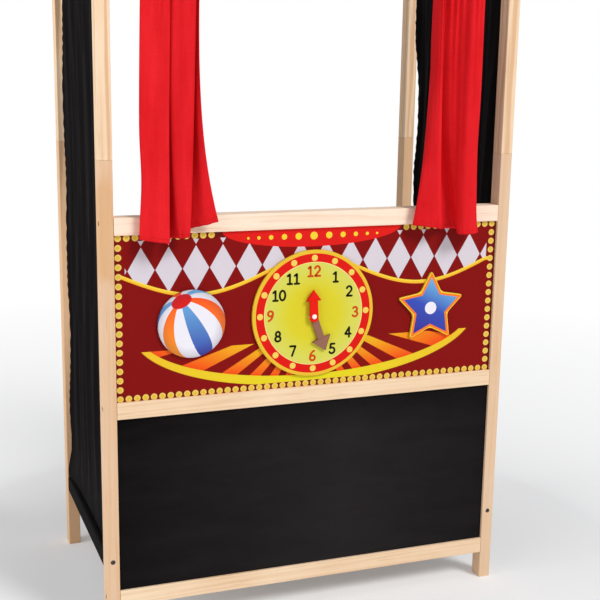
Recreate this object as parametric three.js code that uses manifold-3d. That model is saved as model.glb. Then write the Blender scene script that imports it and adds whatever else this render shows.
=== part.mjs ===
// Puppet theater stand: a wooden booth frame with a printed clock panel, a chalkboard,
// two curtains on a rod and black cloth sides. Millimetres, +Z up, audience on the -Y side.
// The frame is drawn from its front face (y = 0) and the floor (z = 0), centred on x = 0.

import * as THREE from "three";
import { mergeVertices } from "three/addons/utils/BufferGeometryUtils.js";
import Module from "manifold-3d";

const wasm = await Module();
wasm.setup();

// Frame
const frame_width = 720;
const frame_depth = 415;
const post_width = 22;
const post_depth = 28;
const rail_height = 28;
const edge_radius = 1.5;
const edge_steps = 2;

// Clear heights, from the floor up
const toe_height = 50;
const chalk_height = 296;
const print_height = 270;
const stage_height = 390;
const header_height = 110;
const joint_above_sill = 89;

// Side rails, inside the cloth's sleeves
const side_rail_width = 18;
const side_rail_drop = 12;
const side_rail_rise = 34;

// Panels in grooves
const panel_thickness = 4;
const panel_recess = 5.25;
const groove_depth = 6;

// Fits
const clearance = 0.3;
const seat_gap = 0.3;
const overrun = 2;

// Wood screws
const screw_head_radius = 4;
const screw_head_height = 3.5;
const screw_shank_radius = 2;
const screw_length = 48.5;
const screw_tip = 5;
const screw_sides = 10;
const screw_inset = 8;
const screw_rise = 5;
const counterbore_depth = 4;

// Wooden dowels
const dowel_radius = 4;
const dowel_length = 32;
const dowel_in_post = 12;
const dowel_inset = 20;
const dowel_drop = 5;
const dowel_sides = 12;
const post_dowel_spacing = 13;

// Clock
const clock_radius = 108;
const clock_thickness = 5;
const clock_edge = 1;
const clock_offset = -4;
const clock_below_sill = 172;
const clock_sides = 60;
const pivot_offset = -2;
const pivot_drop = 3.4;
const pin_radius = 2.5;
const pin_head_radius = 4.25;
const pin_head_height = 2.5;
const pin_dome_shares = [[1, 0], [0.8, 0.58], [0.45, 0.82]];
const pin_end = 1;
const pin_sides = 16;
const spacer_radius = 7;
const spacer_thickness = 1.5;
const cap_radius = 7;
const cap_thickness = 2.5;

// Clock hands
const hand_thickness = 3;
const hand_tail = 2;
const hour_length = 45.7;
const hour_shaft = 15.5;
const hour_head_width = 27;
const hour_head_length = 19;
const minute_length = 65;
const minute_shaft = 13.5;
const minute_head_width = 35;
const minute_head_length = 24;
const hour_angle = THREE.MathUtils.degToRad(-2);
const minute_angle = THREE.MathUtils.degToRad(159.5);
const hand_arc_steps = 12;

// Raised cut-outs on the printed panel
const cutout_thickness = 5;
const cutout_below_sill = 176;
const cutout_spread_share = 0.633;
const ball_radius = 56;
const ball_sides = 48;
const star_radius = 66;
const star_waist_share = 0.52;
const star_points = 5;
const star_round = 7;

// Curtain rod
const rod_radius = 7;
const rod_offset = 24;
const rod_sides = 18;
const bracket_width = 18;
const bracket_bore = 12;
const bracket_to_post = 14;
const bracket_screw_length = 40;

// Curtains
const cloth_thickness = 1.6;
const sleeve_thickness = 1.8;
const curtain_slack = 0.5;
const curtain_to_bracket = 3;
const curtain_swing = 18;
const curtain_spread_share = 0.12;
const curtain_flare_power = 3;
const curtain_row_power = 1.2;
const curtain_edge_power = 8;
const curtain_kick_power = 24;

// Side cloths
const side_cloth_slack = 0.5;
const side_sleeve_thickness = 1.2;
const side_cloth_inset = 1.5;
const side_fold_depth = 4;
const side_fold_count = 5.5;
const side_fold_sway_share = 0.15;
const side_fold_sway_turn = 3;
const side_belly_share = 1 / 6;
const side_edge_insets = {
  left: [0, 2, 3, 1, 12, 19, 22, 12, 0],
  right: [0, 14, 27, 33, 32, 28, 22, 12, 0],
};
const side_ripple = 3;
const side_ripple_count = 4.2;

// Heights worked out from the sizes above
const bottom_rail_z = toe_height;
const lower_rail_z = bottom_rail_z + rail_height + chalk_height;
const sill_z = lower_rail_z + rail_height + print_height;
const sill_top = sill_z + rail_height;
const header_rail_z = sill_top + stage_height;
const top_rail_z = header_rail_z + rail_height + header_height;
const frame_height = top_rail_z + rail_height;
const post_joint_z = sill_top + joint_above_sill;
const side_rail_top_z = top_rail_z - side_rail_drop - rail_height;
const side_rail_bottom_z = bottom_rail_z + rail_height + side_rail_rise;

// Places worked out from the sizes above
const inner_x = frame_width / 2 - post_width;
const post_x = frame_width / 2 - post_width / 2;
const rear_y = frame_depth - post_depth;
const front_reach = rod_offset + rail_height / 2;
const rod_z = header_rail_z + rail_height / 2;
const bracket_x = inner_x - bracket_to_post - bracket_width / 2;
const groove_front = panel_recess - clearance;
const groove_width = panel_thickness + 2 * clearance;
const clock_z = sill_top - clock_below_sill;
const pivot_x = clock_offset + pivot_offset;
const pivot_z = clock_z - pivot_drop;
const cutout_x = cutout_spread_share * inner_x;
const cutout_z = sill_top - cutout_below_sill;

const front_rails = [
  { name: "bottom_rail", z: bottom_rail_z, above: true, below: false },
  { name: "lower_rail", z: lower_rail_z, above: true, below: true },
  { name: "sill_rail", z: sill_z, above: false, below: true },
  { name: "header_rail", z: header_rail_z, above: true, below: false },
  { name: "top_rail", z: top_rail_z, above: false, below: true },
];
const panel_bays = [
  { name: "chalkboard", z: bottom_rail_z + rail_height, height: chalk_height },
  { name: "print_panel", z: lower_rail_z + rail_height, height: print_height },
  { name: "header_panel", z: header_rail_z + rail_height, height: header_height },
];
const side_rails = [
  { name: "top", z: side_rail_top_z },
  { name: "bottom", z: side_rail_bottom_z },
];
const sides = [
  { name: "left", sign: -1 },
  { name: "right", sign: 1 },
];

// Colours, roughness and metalness
const bare_pine = () => finish(0xecd0a6, 0.6, 0);
const dark_board = () => finish(0x1c1a1c, 0.8, 0);
const printed_board = () => finish(0x871614, 0.35, 0);
const clock_yellow = () => finish(0xe4d83e, 0.35, 0);
const hand_red = () => finish(0xe02018, 0.4, 0);
const hand_brown = () => finish(0x96695a, 0.45, 0);
const print_blue = () => finish(0x4a62b4, 0.35, 0);
const print_orange = () => finish(0xee7a26, 0.35, 0);
const white_plastic = () => finish(0xf4f0ea, 0.3, 0);
const dark_steel = () => finish(0x3a3836, 0.4, 0.9);
const red_cloth = () => finish(0xe01e24, 0.85, 0);
const black_cloth = () => finish(0x1a1a1c, 0.95, 0);

function finish(color, roughness, metalness) {
  return new THREE.MeshStandardMaterial({ color, roughness, metalness });
}

// Solids

function tidied(geometry) {
  const bare = geometry.clone();
  bare.deleteAttribute("normal");
  bare.deleteAttribute("uv");
  const merged = mergeVertices(bare);
  const source = merged.index.array;
  const kept = [];
  for (let i = 0; i < source.length; i += 3) {
    const [a, b, c] = [source[i], source[i + 1], source[i + 2]];
    if (a !== b && b !== c && c !== a) kept.push(a, b, c);
  }
  merged.setIndex(kept);
  return merged;
}

function toSolid(geometry) {
  const bare = tidied(geometry);
  return new wasm.Manifold(new wasm.Mesh({
    numProp: 3,
    vertProperties: new Float32Array(bare.attributes.position.array),
    triVerts: new Uint32Array(bare.index.array),
  }));
}

function toGeometry(solid) {
  const mesh = solid.getMesh();
  const geometry = new THREE.BufferGeometry();
  geometry.setAttribute("position", new THREE.BufferAttribute(mesh.vertProperties, 3));
  geometry.setIndex(new THREE.BufferAttribute(mesh.triVerts, 1));
  return geometry;
}

function cut(geometry, cutters) {
  let solid = toSolid(geometry);
  for (const cutter of cutters) solid = solid.subtract(toSolid(cutter));
  return toGeometry(solid);
}

function joined(geometries) {
  let solid = toSolid(geometries[0]);
  for (const geometry of geometries.slice(1)) solid = solid.add(toSolid(geometry));
  return toGeometry(solid);
}

// A box between two corners
function block(from, to) {
  const low = from.map((value, axis) => Math.min(value, to[axis]));
  const high = from.map((value, axis) => Math.max(value, to[axis]));
  const size = high.map((value, axis) => value - low[axis]);
  const centre = high.map((value, axis) => (value + low[axis]) / 2);
  return new THREE.BoxGeometry(...size).translate(...centre);
}

// A shape's own x and y run along y and z for axis "x", z and x for "y", x and y for "z"
function extrudeAlong(axis, shape, length, curveSegments = edge_steps) {
  const geometry = new THREE.ExtrudeGeometry(shape, { depth: length, bevelEnabled: false, curveSegments });
  const [x, y, z] = [new THREE.Vector3(1, 0, 0), new THREE.Vector3(0, 1, 0), new THREE.Vector3(0, 0, 1)];
  const bases = { x: [y, z, x], y: [z, x, y], z: [x, y, z] };
  return geometry.applyMatrix4(new THREE.Matrix4().makeBasis(...bases[axis]));
}

function roundedRectangle(width, height, radius) {
  const shape = new THREE.Shape();
  const x = width / 2 - radius;
  const y = height / 2 - radius;
  shape.absarc(x, y, radius, 0, Math.PI / 2);
  shape.absarc(-x, y, radius, Math.PI / 2, Math.PI);
  shape.absarc(-x, -y, radius, Math.PI, 1.5 * Math.PI);
  shape.absarc(x, -y, radius, 1.5 * Math.PI, 2 * Math.PI);
  shape.closePath();
  return shape;
}

// A round bar whose end stands at a point, running along an axis; a minus length runs back
function roundBar(axis, radius, length, point, bar_sides) {
  const geometry = new THREE.CylinderGeometry(radius, radius, Math.abs(length), bar_sides);
  geometry.translate(0, length / 2, 0);
  if (axis === "x") geometry.rotateZ(-Math.PI / 2);
  if (axis === "z") geometry.rotateX(Math.PI / 2);
  return geometry.translate(...point);
}

// A turned shape on an axis, its foot at a point; a minus sign turns it back along the axis
function turned(profile, axis, sign, point, turned_sides) {
  const geometry = tidied(new THREE.LatheGeometry(profile.map((p) => new THREE.Vector2(...p)), turned_sides));
  if (sign < 0) geometry.rotateX(Math.PI);
  if (axis === "x") geometry.rotateZ(-Math.PI / 2);
  if (axis === "z") geometry.rotateX(Math.PI / 2);
  return geometry.translate(...point);
}

function piece(name, geometry, material, origin) {
  const mesh = new THREE.Mesh(geometry.translate(-origin[0], -origin[1], -origin[2]), material);
  mesh.name = name;
  mesh.position.set(...origin);
  return mesh;
}

// A sheet of cloth: rows of centre points, thickened along their normals and closed at the rim
function sheet(rows, thickness) {
  const [last_row, last_column] = [rows.length - 1, rows[0].length - 1];
  const at = (r, c) => rows[Math.min(Math.max(r, 0), last_row)][Math.min(Math.max(c, 0), last_column)];
  const layer = (last_row + 1) * (last_column + 1);
  const positions = new Float32Array(2 * layer * 3);
  const faces = [];
  const index = (r, c, back) => r * (last_column + 1) + c + (back ? layer : 0);
  for (let r = 0; r <= last_row; r += 1) {
    for (let c = 0; c <= last_column; c += 1) {
      const along = at(r, c + 1).clone().sub(at(r, c - 1));
      const down = at(r + 1, c).clone().sub(at(r - 1, c));
      const half = along.cross(down).normalize().multiplyScalar(thickness / 2);
      at(r, c).clone().sub(half).toArray(positions, 3 * index(r, c, false));
      at(r, c).clone().add(half).toArray(positions, 3 * index(r, c, true));
    }
  }
  const quad = (a, b, c, d) => faces.push(a, b, c, a, c, d);
  for (let r = 0; r < last_row; r += 1) {
    for (let c = 0; c < last_column; c += 1) {
      quad(index(r, c, true), index(r, c + 1, true), index(r + 1, c + 1, true), index(r + 1, c, true));
      quad(index(r, c), index(r + 1, c), index(r + 1, c + 1), index(r, c + 1));
    }
    const end = last_column;
    quad(index(r, 0), index(r, 0, true), index(r + 1, 0, true), index(r + 1, 0));
    quad(index(r, end), index(r + 1, end), index(r + 1, end, true), index(r, end, true));
  }
  for (let c = 0; c < last_column; c += 1) {
    quad(index(0, c), index(0, c + 1), index(0, c + 1, true), index(0, c, true));
    quad(index(last_row, c), index(last_row, c, true), index(last_row, c + 1, true), index(last_row, c + 1));
  }
  const geometry = new THREE.BufferGeometry();
  geometry.setAttribute("position", new THREE.BufferAttribute(positions, 3));
  geometry.setIndex(faces);
  return geometry;
}

// Fasteners: where each screw and dowel stands, and the bores that take them

function railEnds() {
  const places = front_rails.map(({ name, z }) => ({ rail: name, z, front: 0, way: 1 }));
  places.push({ rail: "rear_top_rail", z: top_rail_z, front: frame_depth, way: -1 });
  return places.flatMap(({ rail, z, front, way }) => sides.map(({ name, sign }) => ({
    rail,
    side: name,
    sign,
    row: way > 0 ? "front" : "rear",
    screw: [sign * frame_width / 2, front + way * screw_inset, z + rail_height / 2 + screw_rise],
    dowel: [sign * inner_x, front + way * dowel_inset, z + rail_height / 2 - dowel_drop],
  })));
}

function sideRailEnds() {
  const rows = [
    { row: "front", face: 0, inner: post_depth, way: 1 },
    { row: "rear", face: frame_depth, inner: rear_y, way: -1 },
  ];
  const ends = side_rails.flatMap((rail) => sides.flatMap((side) => rows.map((row) => [rail, side, row])));
  return ends.map(([{ name, z }, side, { row, face, inner, way }]) => ({
    rail: `side_${name}_rail`,
    side: side.name,
    sign: side.sign,
    row,
    way,
    screw: [side.sign * post_x, face, z + rail_height / 2 + screw_rise],
    dowel: [side.sign * post_x, inner, z + rail_height / 2 - dowel_drop],
  }));
}

function postDowels(sign, row) {
  const middle = row === "front" ? post_depth / 2 : rear_y + post_depth / 2;
  return [-1, 1].map((way) => [sign * post_x, middle + way * post_dowel_spacing / 2, post_joint_z]);
}

function bracketScrews() {
  return sides.map(({ sign }) => [sign * bracket_x, post_depth, rod_z]);
}

function screw(axis, sign, point, length) {
  const head_top = counterbore_depth - screw_head_height;
  const profile = [
    [0, head_top],
    [screw_head_radius, head_top],
    [screw_head_radius, counterbore_depth],
    [screw_shank_radius, counterbore_depth],
    [screw_shank_radius, counterbore_depth + length - screw_head_height - screw_tip],
    [0, counterbore_depth + length - screw_head_height],
  ];
  return turned(profile, axis, sign, point, screw_sides);
}

function screwBore(axis, sign, point, length) {
  const start = (distance) => point.map((value, i) => value + (axis === "xyz"[i] ? sign * distance : 0));
  const counterbore = counterbore_depth + clearance + overrun;
  const shank = length + clearance + overrun;
  return [
    roundBar(axis, screw_head_radius + clearance, sign * counterbore, start(-overrun), screw_sides),
    roundBar(axis, screw_shank_radius + clearance, sign * shank, start(-overrun), screw_sides),
  ];
}

// A dowel glued into a rail's end, or with a gap the bore that takes it; the point is on the post's face
function dowel(axis, sign, point, gap) {
  const start = point.map((value, i) => value + (axis === "xyz"[i] ? sign * (dowel_in_post + gap) : 0));
  return roundBar(axis, dowel_radius + gap, -sign * (dowel_length + gap), start, dowel_sides);
}

// A dowel glued into an upper post length, half of it in the lower one's bore
function postDowel(point, gap) {
  const foot = [point[0], point[1], point[2] - dowel_length / 2 - gap];
  return roundBar("z", dowel_radius + gap, dowel_length + gap, foot, dowel_sides);
}

function postCutters(sign, row) {
  const cutters = [];
  for (const end of railEnds().filter((e) => e.sign === sign && e.row === row)) {
    cutters.push(...screwBore("x", -sign, end.screw, screw_length), dowel("x", sign, end.dowel, clearance));
  }
  for (const end of sideRailEnds().filter((e) => e.sign === sign && e.row === row)) {
    cutters.push(...screwBore("y", end.way, end.screw, screw_length));
    cutters.push(dowel("y", -end.way, end.dowel, clearance));
  }
  if (row === "front") {
    for (const bay of panel_bays) {
      const [low, high] = [bay.z - groove_depth, bay.z + bay.height + groove_depth];
      const inner = sign * (inner_x - overrun);
      const floor = sign * (inner_x + groove_depth);
      cutters.push(block([inner, groove_front, low], [floor, groove_front + groove_width, high]));
    }
  }
  return cutters;
}

// Frame pieces

function post(side, row, level) {
  const low = level === "lower" ? 0 : post_joint_z + seat_gap / 2;
  const high = level === "lower" ? post_joint_z - seat_gap / 2 : frame_height;
  const y = row === "front" ? post_depth / 2 : rear_y + post_depth / 2;
  const origin = [side.sign * post_x, y, low];
  const outline = roundedRectangle(post_width, post_depth, edge_radius);
  const bar = extrudeAlong("z", outline, high - low).translate(...origin);
  const dowels = postDowels(side.sign, row);
  const cutters = postCutters(side.sign, row);
  const geometry = level === "lower"
    ? cut(bar, [...cutters, ...dowels.map((point) => postDowel(point, clearance))])
    : joined([cut(bar, cutters), ...dowels.map((point) => postDowel(point, 0))]);
  return piece(`${row}_post_${side.name}_${level}`, geometry, bare_pine(), origin);
}

function crossRail(name, z, row, cutters) {
  const y = row === "front" ? 0 : rear_y;
  const origin = [0, y + post_depth / 2, z + rail_height / 2];
  const length = 2 * (inner_x - seat_gap);
  const outline = roundedRectangle(post_depth, rail_height, edge_radius);
  const bar = extrudeAlong("x", outline, length).translate(-length / 2, origin[1], origin[2]);
  const ends = railEnds().filter((e) => e.row === row && Math.abs(e.screw[2] - origin[2]) < rail_height / 2);
  const bores = ends.flatMap((e) => screwBore("x", -e.sign, e.screw, screw_length));
  const dowels = ends.map((e) => dowel("x", e.sign, e.dowel, 0));
  return piece(name, joined([cut(bar, [...cutters, ...bores]), ...dowels]), bare_pine(), origin);
}

function frontRail(rail) {
  const cutters = [];
  const groove = (low, high) => block(
    [-inner_x, groove_front, low],
    [inner_x, groove_front + groove_width, high],
  );
  if (rail.above) cutters.push(groove(rail.z + rail_height - groove_depth, rail.z + rail_height + overrun));
  if (rail.below) cutters.push(groove(rail.z - overrun, rail.z + groove_depth));
  if (rail.name === "header_rail") {
    for (const point of bracketScrews()) cutters.push(...screwBore("y", -1, point, bracket_screw_length));
  }
  return crossRail(rail.name, rail.z, "front", cutters);
}

function sideRail(side, rail) {
  const [start, end] = [post_depth + seat_gap, rear_y - seat_gap];
  const origin = [side.sign * post_x, start, rail.z + rail_height / 2];
  const outline = roundedRectangle(rail_height, side_rail_width, edge_radius);
  const bar = extrudeAlong("y", outline, end - start).translate(...origin);
  const ends = sideRailEnds()
    .filter((e) => e.sign === side.sign && Math.abs(e.screw[2] - origin[2]) < rail_height / 2);
  const bores = ends.flatMap((e) => screwBore("y", e.way, e.screw, screw_length));
  const dowels = ends.map((e) => dowel("y", -e.way, e.dowel, 0));
  const geometry = joined([cut(bar, bores), ...dowels]);
  return piece(`side_rail_${side.name}_${rail.name}`, geometry, bare_pine(), origin);
}

function frameScrews() {
  const name = (end) => `screw_${end.rail}_${end.side}`;
  return [
    ...railEnds().map((end) => piece(
      name(end),
      screw("x", -end.sign, end.screw, screw_length),
      dark_steel(),
      end.screw,
    )),
    ...sideRailEnds().map((end) => piece(
      `${name(end)}_${end.row}`,
      screw("y", end.way, end.screw, screw_length),
      dark_steel(),
      end.screw,
    )),
  ];
}

// Panels

function panel(bay, material, cutters) {
  const reach = groove_depth - clearance;
  const [x, y] = [inner_x + reach, panel_recess + panel_thickness];
  const board = block([-x, panel_recess, bay.z - reach], [x, y, bay.z + bay.height + reach]);
  return piece(bay.name, cut(board, cutters), material, [0, panel_recess, bay.z + bay.height / 2]);
}

// Clock, built up from the panel's face towards the audience

const disc_back = panel_recess - seat_gap;
const disc_front = disc_back - clock_thickness;
const spacer_front = disc_front - clearance - spacer_thickness;
const minute_front = spacer_front - clearance - hand_thickness;
const hour_front = minute_front - clearance - hand_thickness;
const pin_head_back = hour_front - clearance;
const cap_front = panel_recess + panel_thickness + clearance;

// The pin's way through the disc and the panel
function clockBore() {
  const start = disc_front - overrun;
  const length = panel_recess + panel_thickness + overrun - start;
  return roundBar("y", pin_radius + clearance, length, [pivot_x, start, pivot_z], pin_sides);
}

function washer(outer, thickness, face) {
  const bore = pin_radius + clearance;
  const profile = [[bore, 0], [outer, 0], [outer, thickness], [bore, thickness], [bore, 0]];
  return turned(profile, "y", -1, [pivot_x, face, pivot_z], pin_sides);
}

function clockDisc() {
  const profile = [
    [0, 0],
    [clock_radius, 0],
    [clock_radius, clock_thickness - clock_edge],
    [clock_radius - clock_edge, clock_thickness],
    [0, clock_thickness],
  ];
  const origin = [clock_offset, disc_back, clock_z];
  const disc = turned(profile, "y", -1, origin, clock_sides);
  return piece("clock_disc", cut(disc, [clockBore()]), clock_yellow(), origin);
}

function clockSpacer() {
  const face = spacer_front + spacer_thickness;
  const geometry = washer(spacer_radius, spacer_thickness, face);
  return piece("clock_spacer", geometry, white_plastic(), [pivot_x, face, pivot_z]);
}

function clockPin() {
  const end = cap_front + cap_thickness + pin_end;
  const reach = end - pin_head_back;
  const profile = [
    [0, 0],
    [pin_radius, 0],
    [pin_radius, reach],
    [pin_head_radius, reach],
    ...pin_dome_shares.map(([width, rise]) => [pin_head_radius * width, reach + pin_head_height * rise]),
    [0, reach + pin_head_height],
  ];
  const geometry = turned(profile, "y", -1, [pivot_x, end, pivot_z], pin_sides);
  return piece("clock_pin", geometry, white_plastic(), [pivot_x, end, pivot_z]);
}

function clockPinCap() {
  const face = cap_front + cap_thickness;
  const geometry = washer(cap_radius, cap_thickness, face);
  return piece("clock_pin_cap", geometry, dark_steel(), [pivot_x, face, pivot_z]);
}

// An arrow that points up from its round tail below the pin, seen with x to the right and y up
function handShape(length, shaft, head_width, head_length) {
  const shape = new THREE.Shape();
  const tail = shaft / 2;
  shape.moveTo(0, length);
  shape.lineTo(-head_width / 2, length - head_length);
  shape.lineTo(-tail, length - head_length);
  shape.lineTo(-tail, -hand_tail);
  shape.absarc(0, -hand_tail, tail, Math.PI, 2 * Math.PI);
  shape.lineTo(tail, length - head_length);
  shape.lineTo(head_width / 2, length - head_length);
  shape.closePath();
  const bore = new THREE.Path();
  bore.absarc(0, 0, pin_radius + clearance, 0, 2 * Math.PI);
  shape.holes.push(bore);
  return shape;
}

function clockHand(name, shape, front, angle, material) {
  const geometry = new THREE.ExtrudeGeometry(shape, {
    depth: hand_thickness,
    bevelEnabled: false,
    curveSegments: hand_arc_steps,
  });
  geometry.rotateX(Math.PI / 2);
  const mesh = new THREE.Mesh(tidied(geometry), material);
  mesh.name = name;
  mesh.position.set(pivot_x, front + hand_thickness, pivot_z);
  mesh.rotation.y = angle;
  return mesh;
}

// Raised cut-outs

function ballCutout() {
  const origin = [-cutout_x, panel_recess - seat_gap, cutout_z];
  const geometry = roundBar("y", ball_radius, -cutout_thickness, origin, ball_sides);
  return piece("ball_cutout", geometry, print_orange(), origin);
}

function starCutout() {
  const shape = new THREE.Shape();
  const corners = [];
  for (let i = 0; i < 2 * star_points; i += 1) {
    const angle = Math.PI / 2 + i * Math.PI / star_points;
    const radius = i % 2 ? star_radius * star_waist_share : star_radius;
    corners.push(new THREE.Vector2(radius * Math.cos(angle), radius * Math.sin(angle)));
  }
  corners.forEach((corner, i) => {
    const before = corners.at(i - 1).clone().sub(corner).setLength(star_round).add(corner);
    const after = corners[(i + 1) % corners.length].clone().sub(corner).setLength(star_round).add(corner);
    if (i === 0) shape.moveTo(before.x, before.y);
    else shape.lineTo(before.x, before.y);
    shape.quadraticCurveTo(corner.x, corner.y, after.x, after.y);
  });
  shape.closePath();
  const geometry = new THREE.ExtrudeGeometry(shape, {
    depth: cutout_thickness,
    bevelEnabled: false,
    curveSegments: 2 * edge_steps,
  });
  const origin = [cutout_x, panel_recess - seat_gap, cutout_z];
  geometry.rotateX(Math.PI / 2).translate(...origin);
  return piece("star_cutout", tidied(geometry), print_blue(), origin);
}

// Curtain rod on its two brackets

function curtainRod() {
  const length = 2 * (bracket_x - bracket_width / 2 + bracket_bore - clearance);
  const start = [-length / 2, -rod_offset, rod_z];
  return piece("curtain_rod", roundBar("x", rod_radius, length, start, rod_sides), bare_pine(), start);
}

function rodBracket(side) {
  const half = rail_height / 2;
  const shape = new THREE.Shape();
  shape.moveTo(-seat_gap, -half);
  shape.lineTo(-seat_gap, half);
  shape.lineTo(-rod_offset, half);
  shape.absarc(-rod_offset, 0, half, Math.PI / 2, 1.5 * Math.PI);
  shape.closePath();
  const inner = side.sign * (bracket_x - bracket_width / 2);
  const origin = [side.sign * bracket_x, 0, rod_z];
  const body = extrudeAlong("x", shape, bracket_width, hand_arc_steps);
  body.translate(origin[0] - bracket_width / 2, 0, rod_z);
  const start = [inner - side.sign * overrun, -rod_offset, rod_z];
  const bore = roundBar("x", rod_radius + clearance, side.sign * (bracket_bore + overrun), start, rod_sides);
  const screw_bore = screwBore("y", -1, [origin[0], post_depth, rod_z], bracket_screw_length);
  return piece(`rod_bracket_${side.name}`, cut(body, [bore, ...screw_bore]), bare_pine(), origin);
}

function bracketScrewSet() {
  return bracketScrews().map((point, i) => piece(
    `screw_rod_bracket_${sides[i].name}`,
    screw("y", -1, point, bracket_screw_length),
    dark_steel(),
    point,
  ));
}

// Curtains: each hangs in folds from a sleeve on the rod, from its outer to its leading edge.
// Each row of folds holds shares of the width, of the swing forward and, at the hem, of its drop.

const rod_outer_x = bracket_x - bracket_width / 2 - curtain_to_bracket;

const left_curtain_style = {
  side: sides[0],
  rod_width: 88.7,
  hem_width: 126.7,
  rod_gap: 8.3,
  hem_shift: 8,
  outer_bow: 4.1,
  bow_place_share: 0.79,
  bow_spread_share: 0.125,
  hem_kick: 0,
  hem_drop: 38,
  rod_folds: foldLine([
    [0.07, -0.94], [0, -0.5], [0.02, 0.11], [0.14, 0.5], [0.3, 0.56], [0.44, 0.5], [0.47, 0.17],
    [0.43, -0.28], [0.37, -0.61], [0.38, -0.97], [0.46, -0.81], [0.5, -0.28], [0.55, 0.22],
    [0.7, 0.56], [0.86, 0.5], [0.94, 0.06], [0.9, -0.5], [0.82, -0.81], [0.87, -1], [0.94, -0.61],
    [0.98, -0.28], [1, 0.06],
  ]),
  hem_folds: foldLine([
    [0.05, -0.94, 0.92], [0, -0.5, 0.89], [0.02, 0.11, 0.87], [0.09, 0.44, 0.89],
    [0.21, 0.56, 0.95], [0.32, 0.58, 0.99], [0.36, 0.22, 1], [0.33, -0.28, 0.97],
    [0.26, -0.61, 0.95], [0.31, -1, 0.92], [0.39, -0.83, 0.89], [0.45, -0.28, 0.84],
    [0.48, 0.22, 0.82], [0.54, 0.44, 0.8], [0.6, 0.28, 0.79], [0.63, -0.11, 0.78],
    [0.58, -0.5, 0.72], [0.56, -0.81, 0.66], [0.63, -1, 0.55], [0.73, -0.56, 0.45],
    [0.87, -0.28, 0.34], [1, -0.17, 0.21],
  ]),
};

const right_curtain_style = {
  side: sides[1],
  rod_width: 87.5,
  hem_width: 116.3,
  rod_gap: 24,
  hem_shift: 3,
  outer_bow: 2,
  bow_place_share: 0.68,
  bow_spread_share: 0.14,
  hem_kick: 6.5,
  hem_drop: 43,
  rod_folds: foldLine([
    [0.27, -0.89], [0.08, -0.83], [0, -0.28], [0.05, 0.22], [0.15, 0.53], [0.26, 0.56],
    [0.35, 0.31], [0.42, -0.17], [0.53, -0.42], [0.65, -0.67], [0.78, -0.93], [0.91, -0.98],
    [0.95, -0.72], [0.89, -0.44], [0.85, -0.17], [0.83, 0.17], [0.87, 0.5], [0.93, 0.56],
    [0.98, 0.28], [1, 0.06], [1.01, -0.22], [1.01, -0.5],
  ]),
  hem_folds: foldLine([
    [0.13, -0.89, 0.93], [0.03, -0.78, 0.95], [0, -0.33, 0.95], [0.03, 0.22, 0.98], [0.1, 0.56, 1],
    [0.18, 0.72, 1], [0.26, 0.69, 1], [0.29, 0.39, 1], [0.29, 0, 0.98], [0.25, -0.33, 0.95],
    [0.21, -0.56, 0.91], [0.21, -0.83, 0.88], [0.28, -0.98, 0.86], [0.38, -0.94, 0.85],
    [0.44, -0.61, 0.81], [0.49, -0.17, 0.78], [0.55, 0.17, 0.74], [0.66, 0.17, 0.67],
    [0.78, 0, 0.63], [0.9, -0.17, 0.59], [1, -0.44, 0.56], [0.94, -0.81, 0.58],
  ]),
};

const curtain_columns = 42;
const curtain_rows = 10;

function foldLine(shares) {
  const points = shares.map(([across, forward, drop = 0]) => new THREE.Vector3(across, forward, drop));
  return new THREE.CatmullRomCurve3(points, false, "catmullrom");
}

function curtainPoint(style, along, down) {
  const { side, rod_width, hem_width } = style;
  const at_rod = style.rod_folds.getPoint(along);
  const at_hem = style.hem_folds.getPoint(along);
  const flare = down ** curtain_flare_power;
  const spread = THREE.MathUtils.smoothstep(down, 0, curtain_spread_share);
  const folded = THREE.MathUtils.lerp(rod_width * at_rod.x, hem_width * at_hem.x, flare);
  const across = THREE.MathUtils.lerp(rod_width * along, folded, spread);
  const forward = curtain_swing * spread * THREE.MathUtils.lerp(at_rod.y, at_hem.y, flare);
  const edge = (1 - across / hem_width) ** curtain_edge_power;
  const bow = style.outer_bow * Math.exp(-(((down - style.bow_place_share) / style.bow_spread_share) ** 2));
  const kick = style.hem_kick * down ** curtain_kick_power;
  const outer = rod_outer_x - style.rod_gap + style.hem_shift * down + (kick - bow) * edge;
  const top = rod_z - rod_radius - curtain_slack - sleeve_thickness / 2;
  const hem = sill_top - style.hem_drop * at_hem.z;
  const x = side.sign * (outer - across);
  return new THREE.Vector3(x, -rod_offset - forward, THREE.MathUtils.lerp(top, hem, down));
}

function curtain(style) {
  const { side } = style;
  const rows = [];
  for (let r = 0; r <= curtain_rows; r += 1) {
    const row = [];
    for (let c = 0; c <= curtain_columns; c += 1) {
      row.push(curtainPoint(style, c / curtain_columns, (r / curtain_rows) ** curtain_row_power));
    }
    rows.push(side.sign > 0 ? row.reverse() : row);
  }
  const wall = rod_radius + curtain_slack;
  const start = [side.sign * (rod_outer_x - style.rod_gap), -rod_offset, rod_z];
  const length = -side.sign * style.rod_width;
  const outside = roundBar("x", wall + sleeve_thickness, length, start, rod_sides);
  const bore_start = [start[0] + side.sign * overrun, start[1], start[2]];
  const bore = roundBar("x", wall, length - 2 * side.sign * overrun, bore_start, rod_sides);
  const geometry = joined([cut(outside, [bore]), sheet(rows, cloth_thickness)]);
  return piece(`${side.name}_curtain`, geometry, red_cloth(), start);
}

// Side cloths: a sleeve on each side rail, shallow upright folds and a free, drawn-in rear edge

const side_cloth_columns = 27;
const side_cloth_rows = 11;

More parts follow.
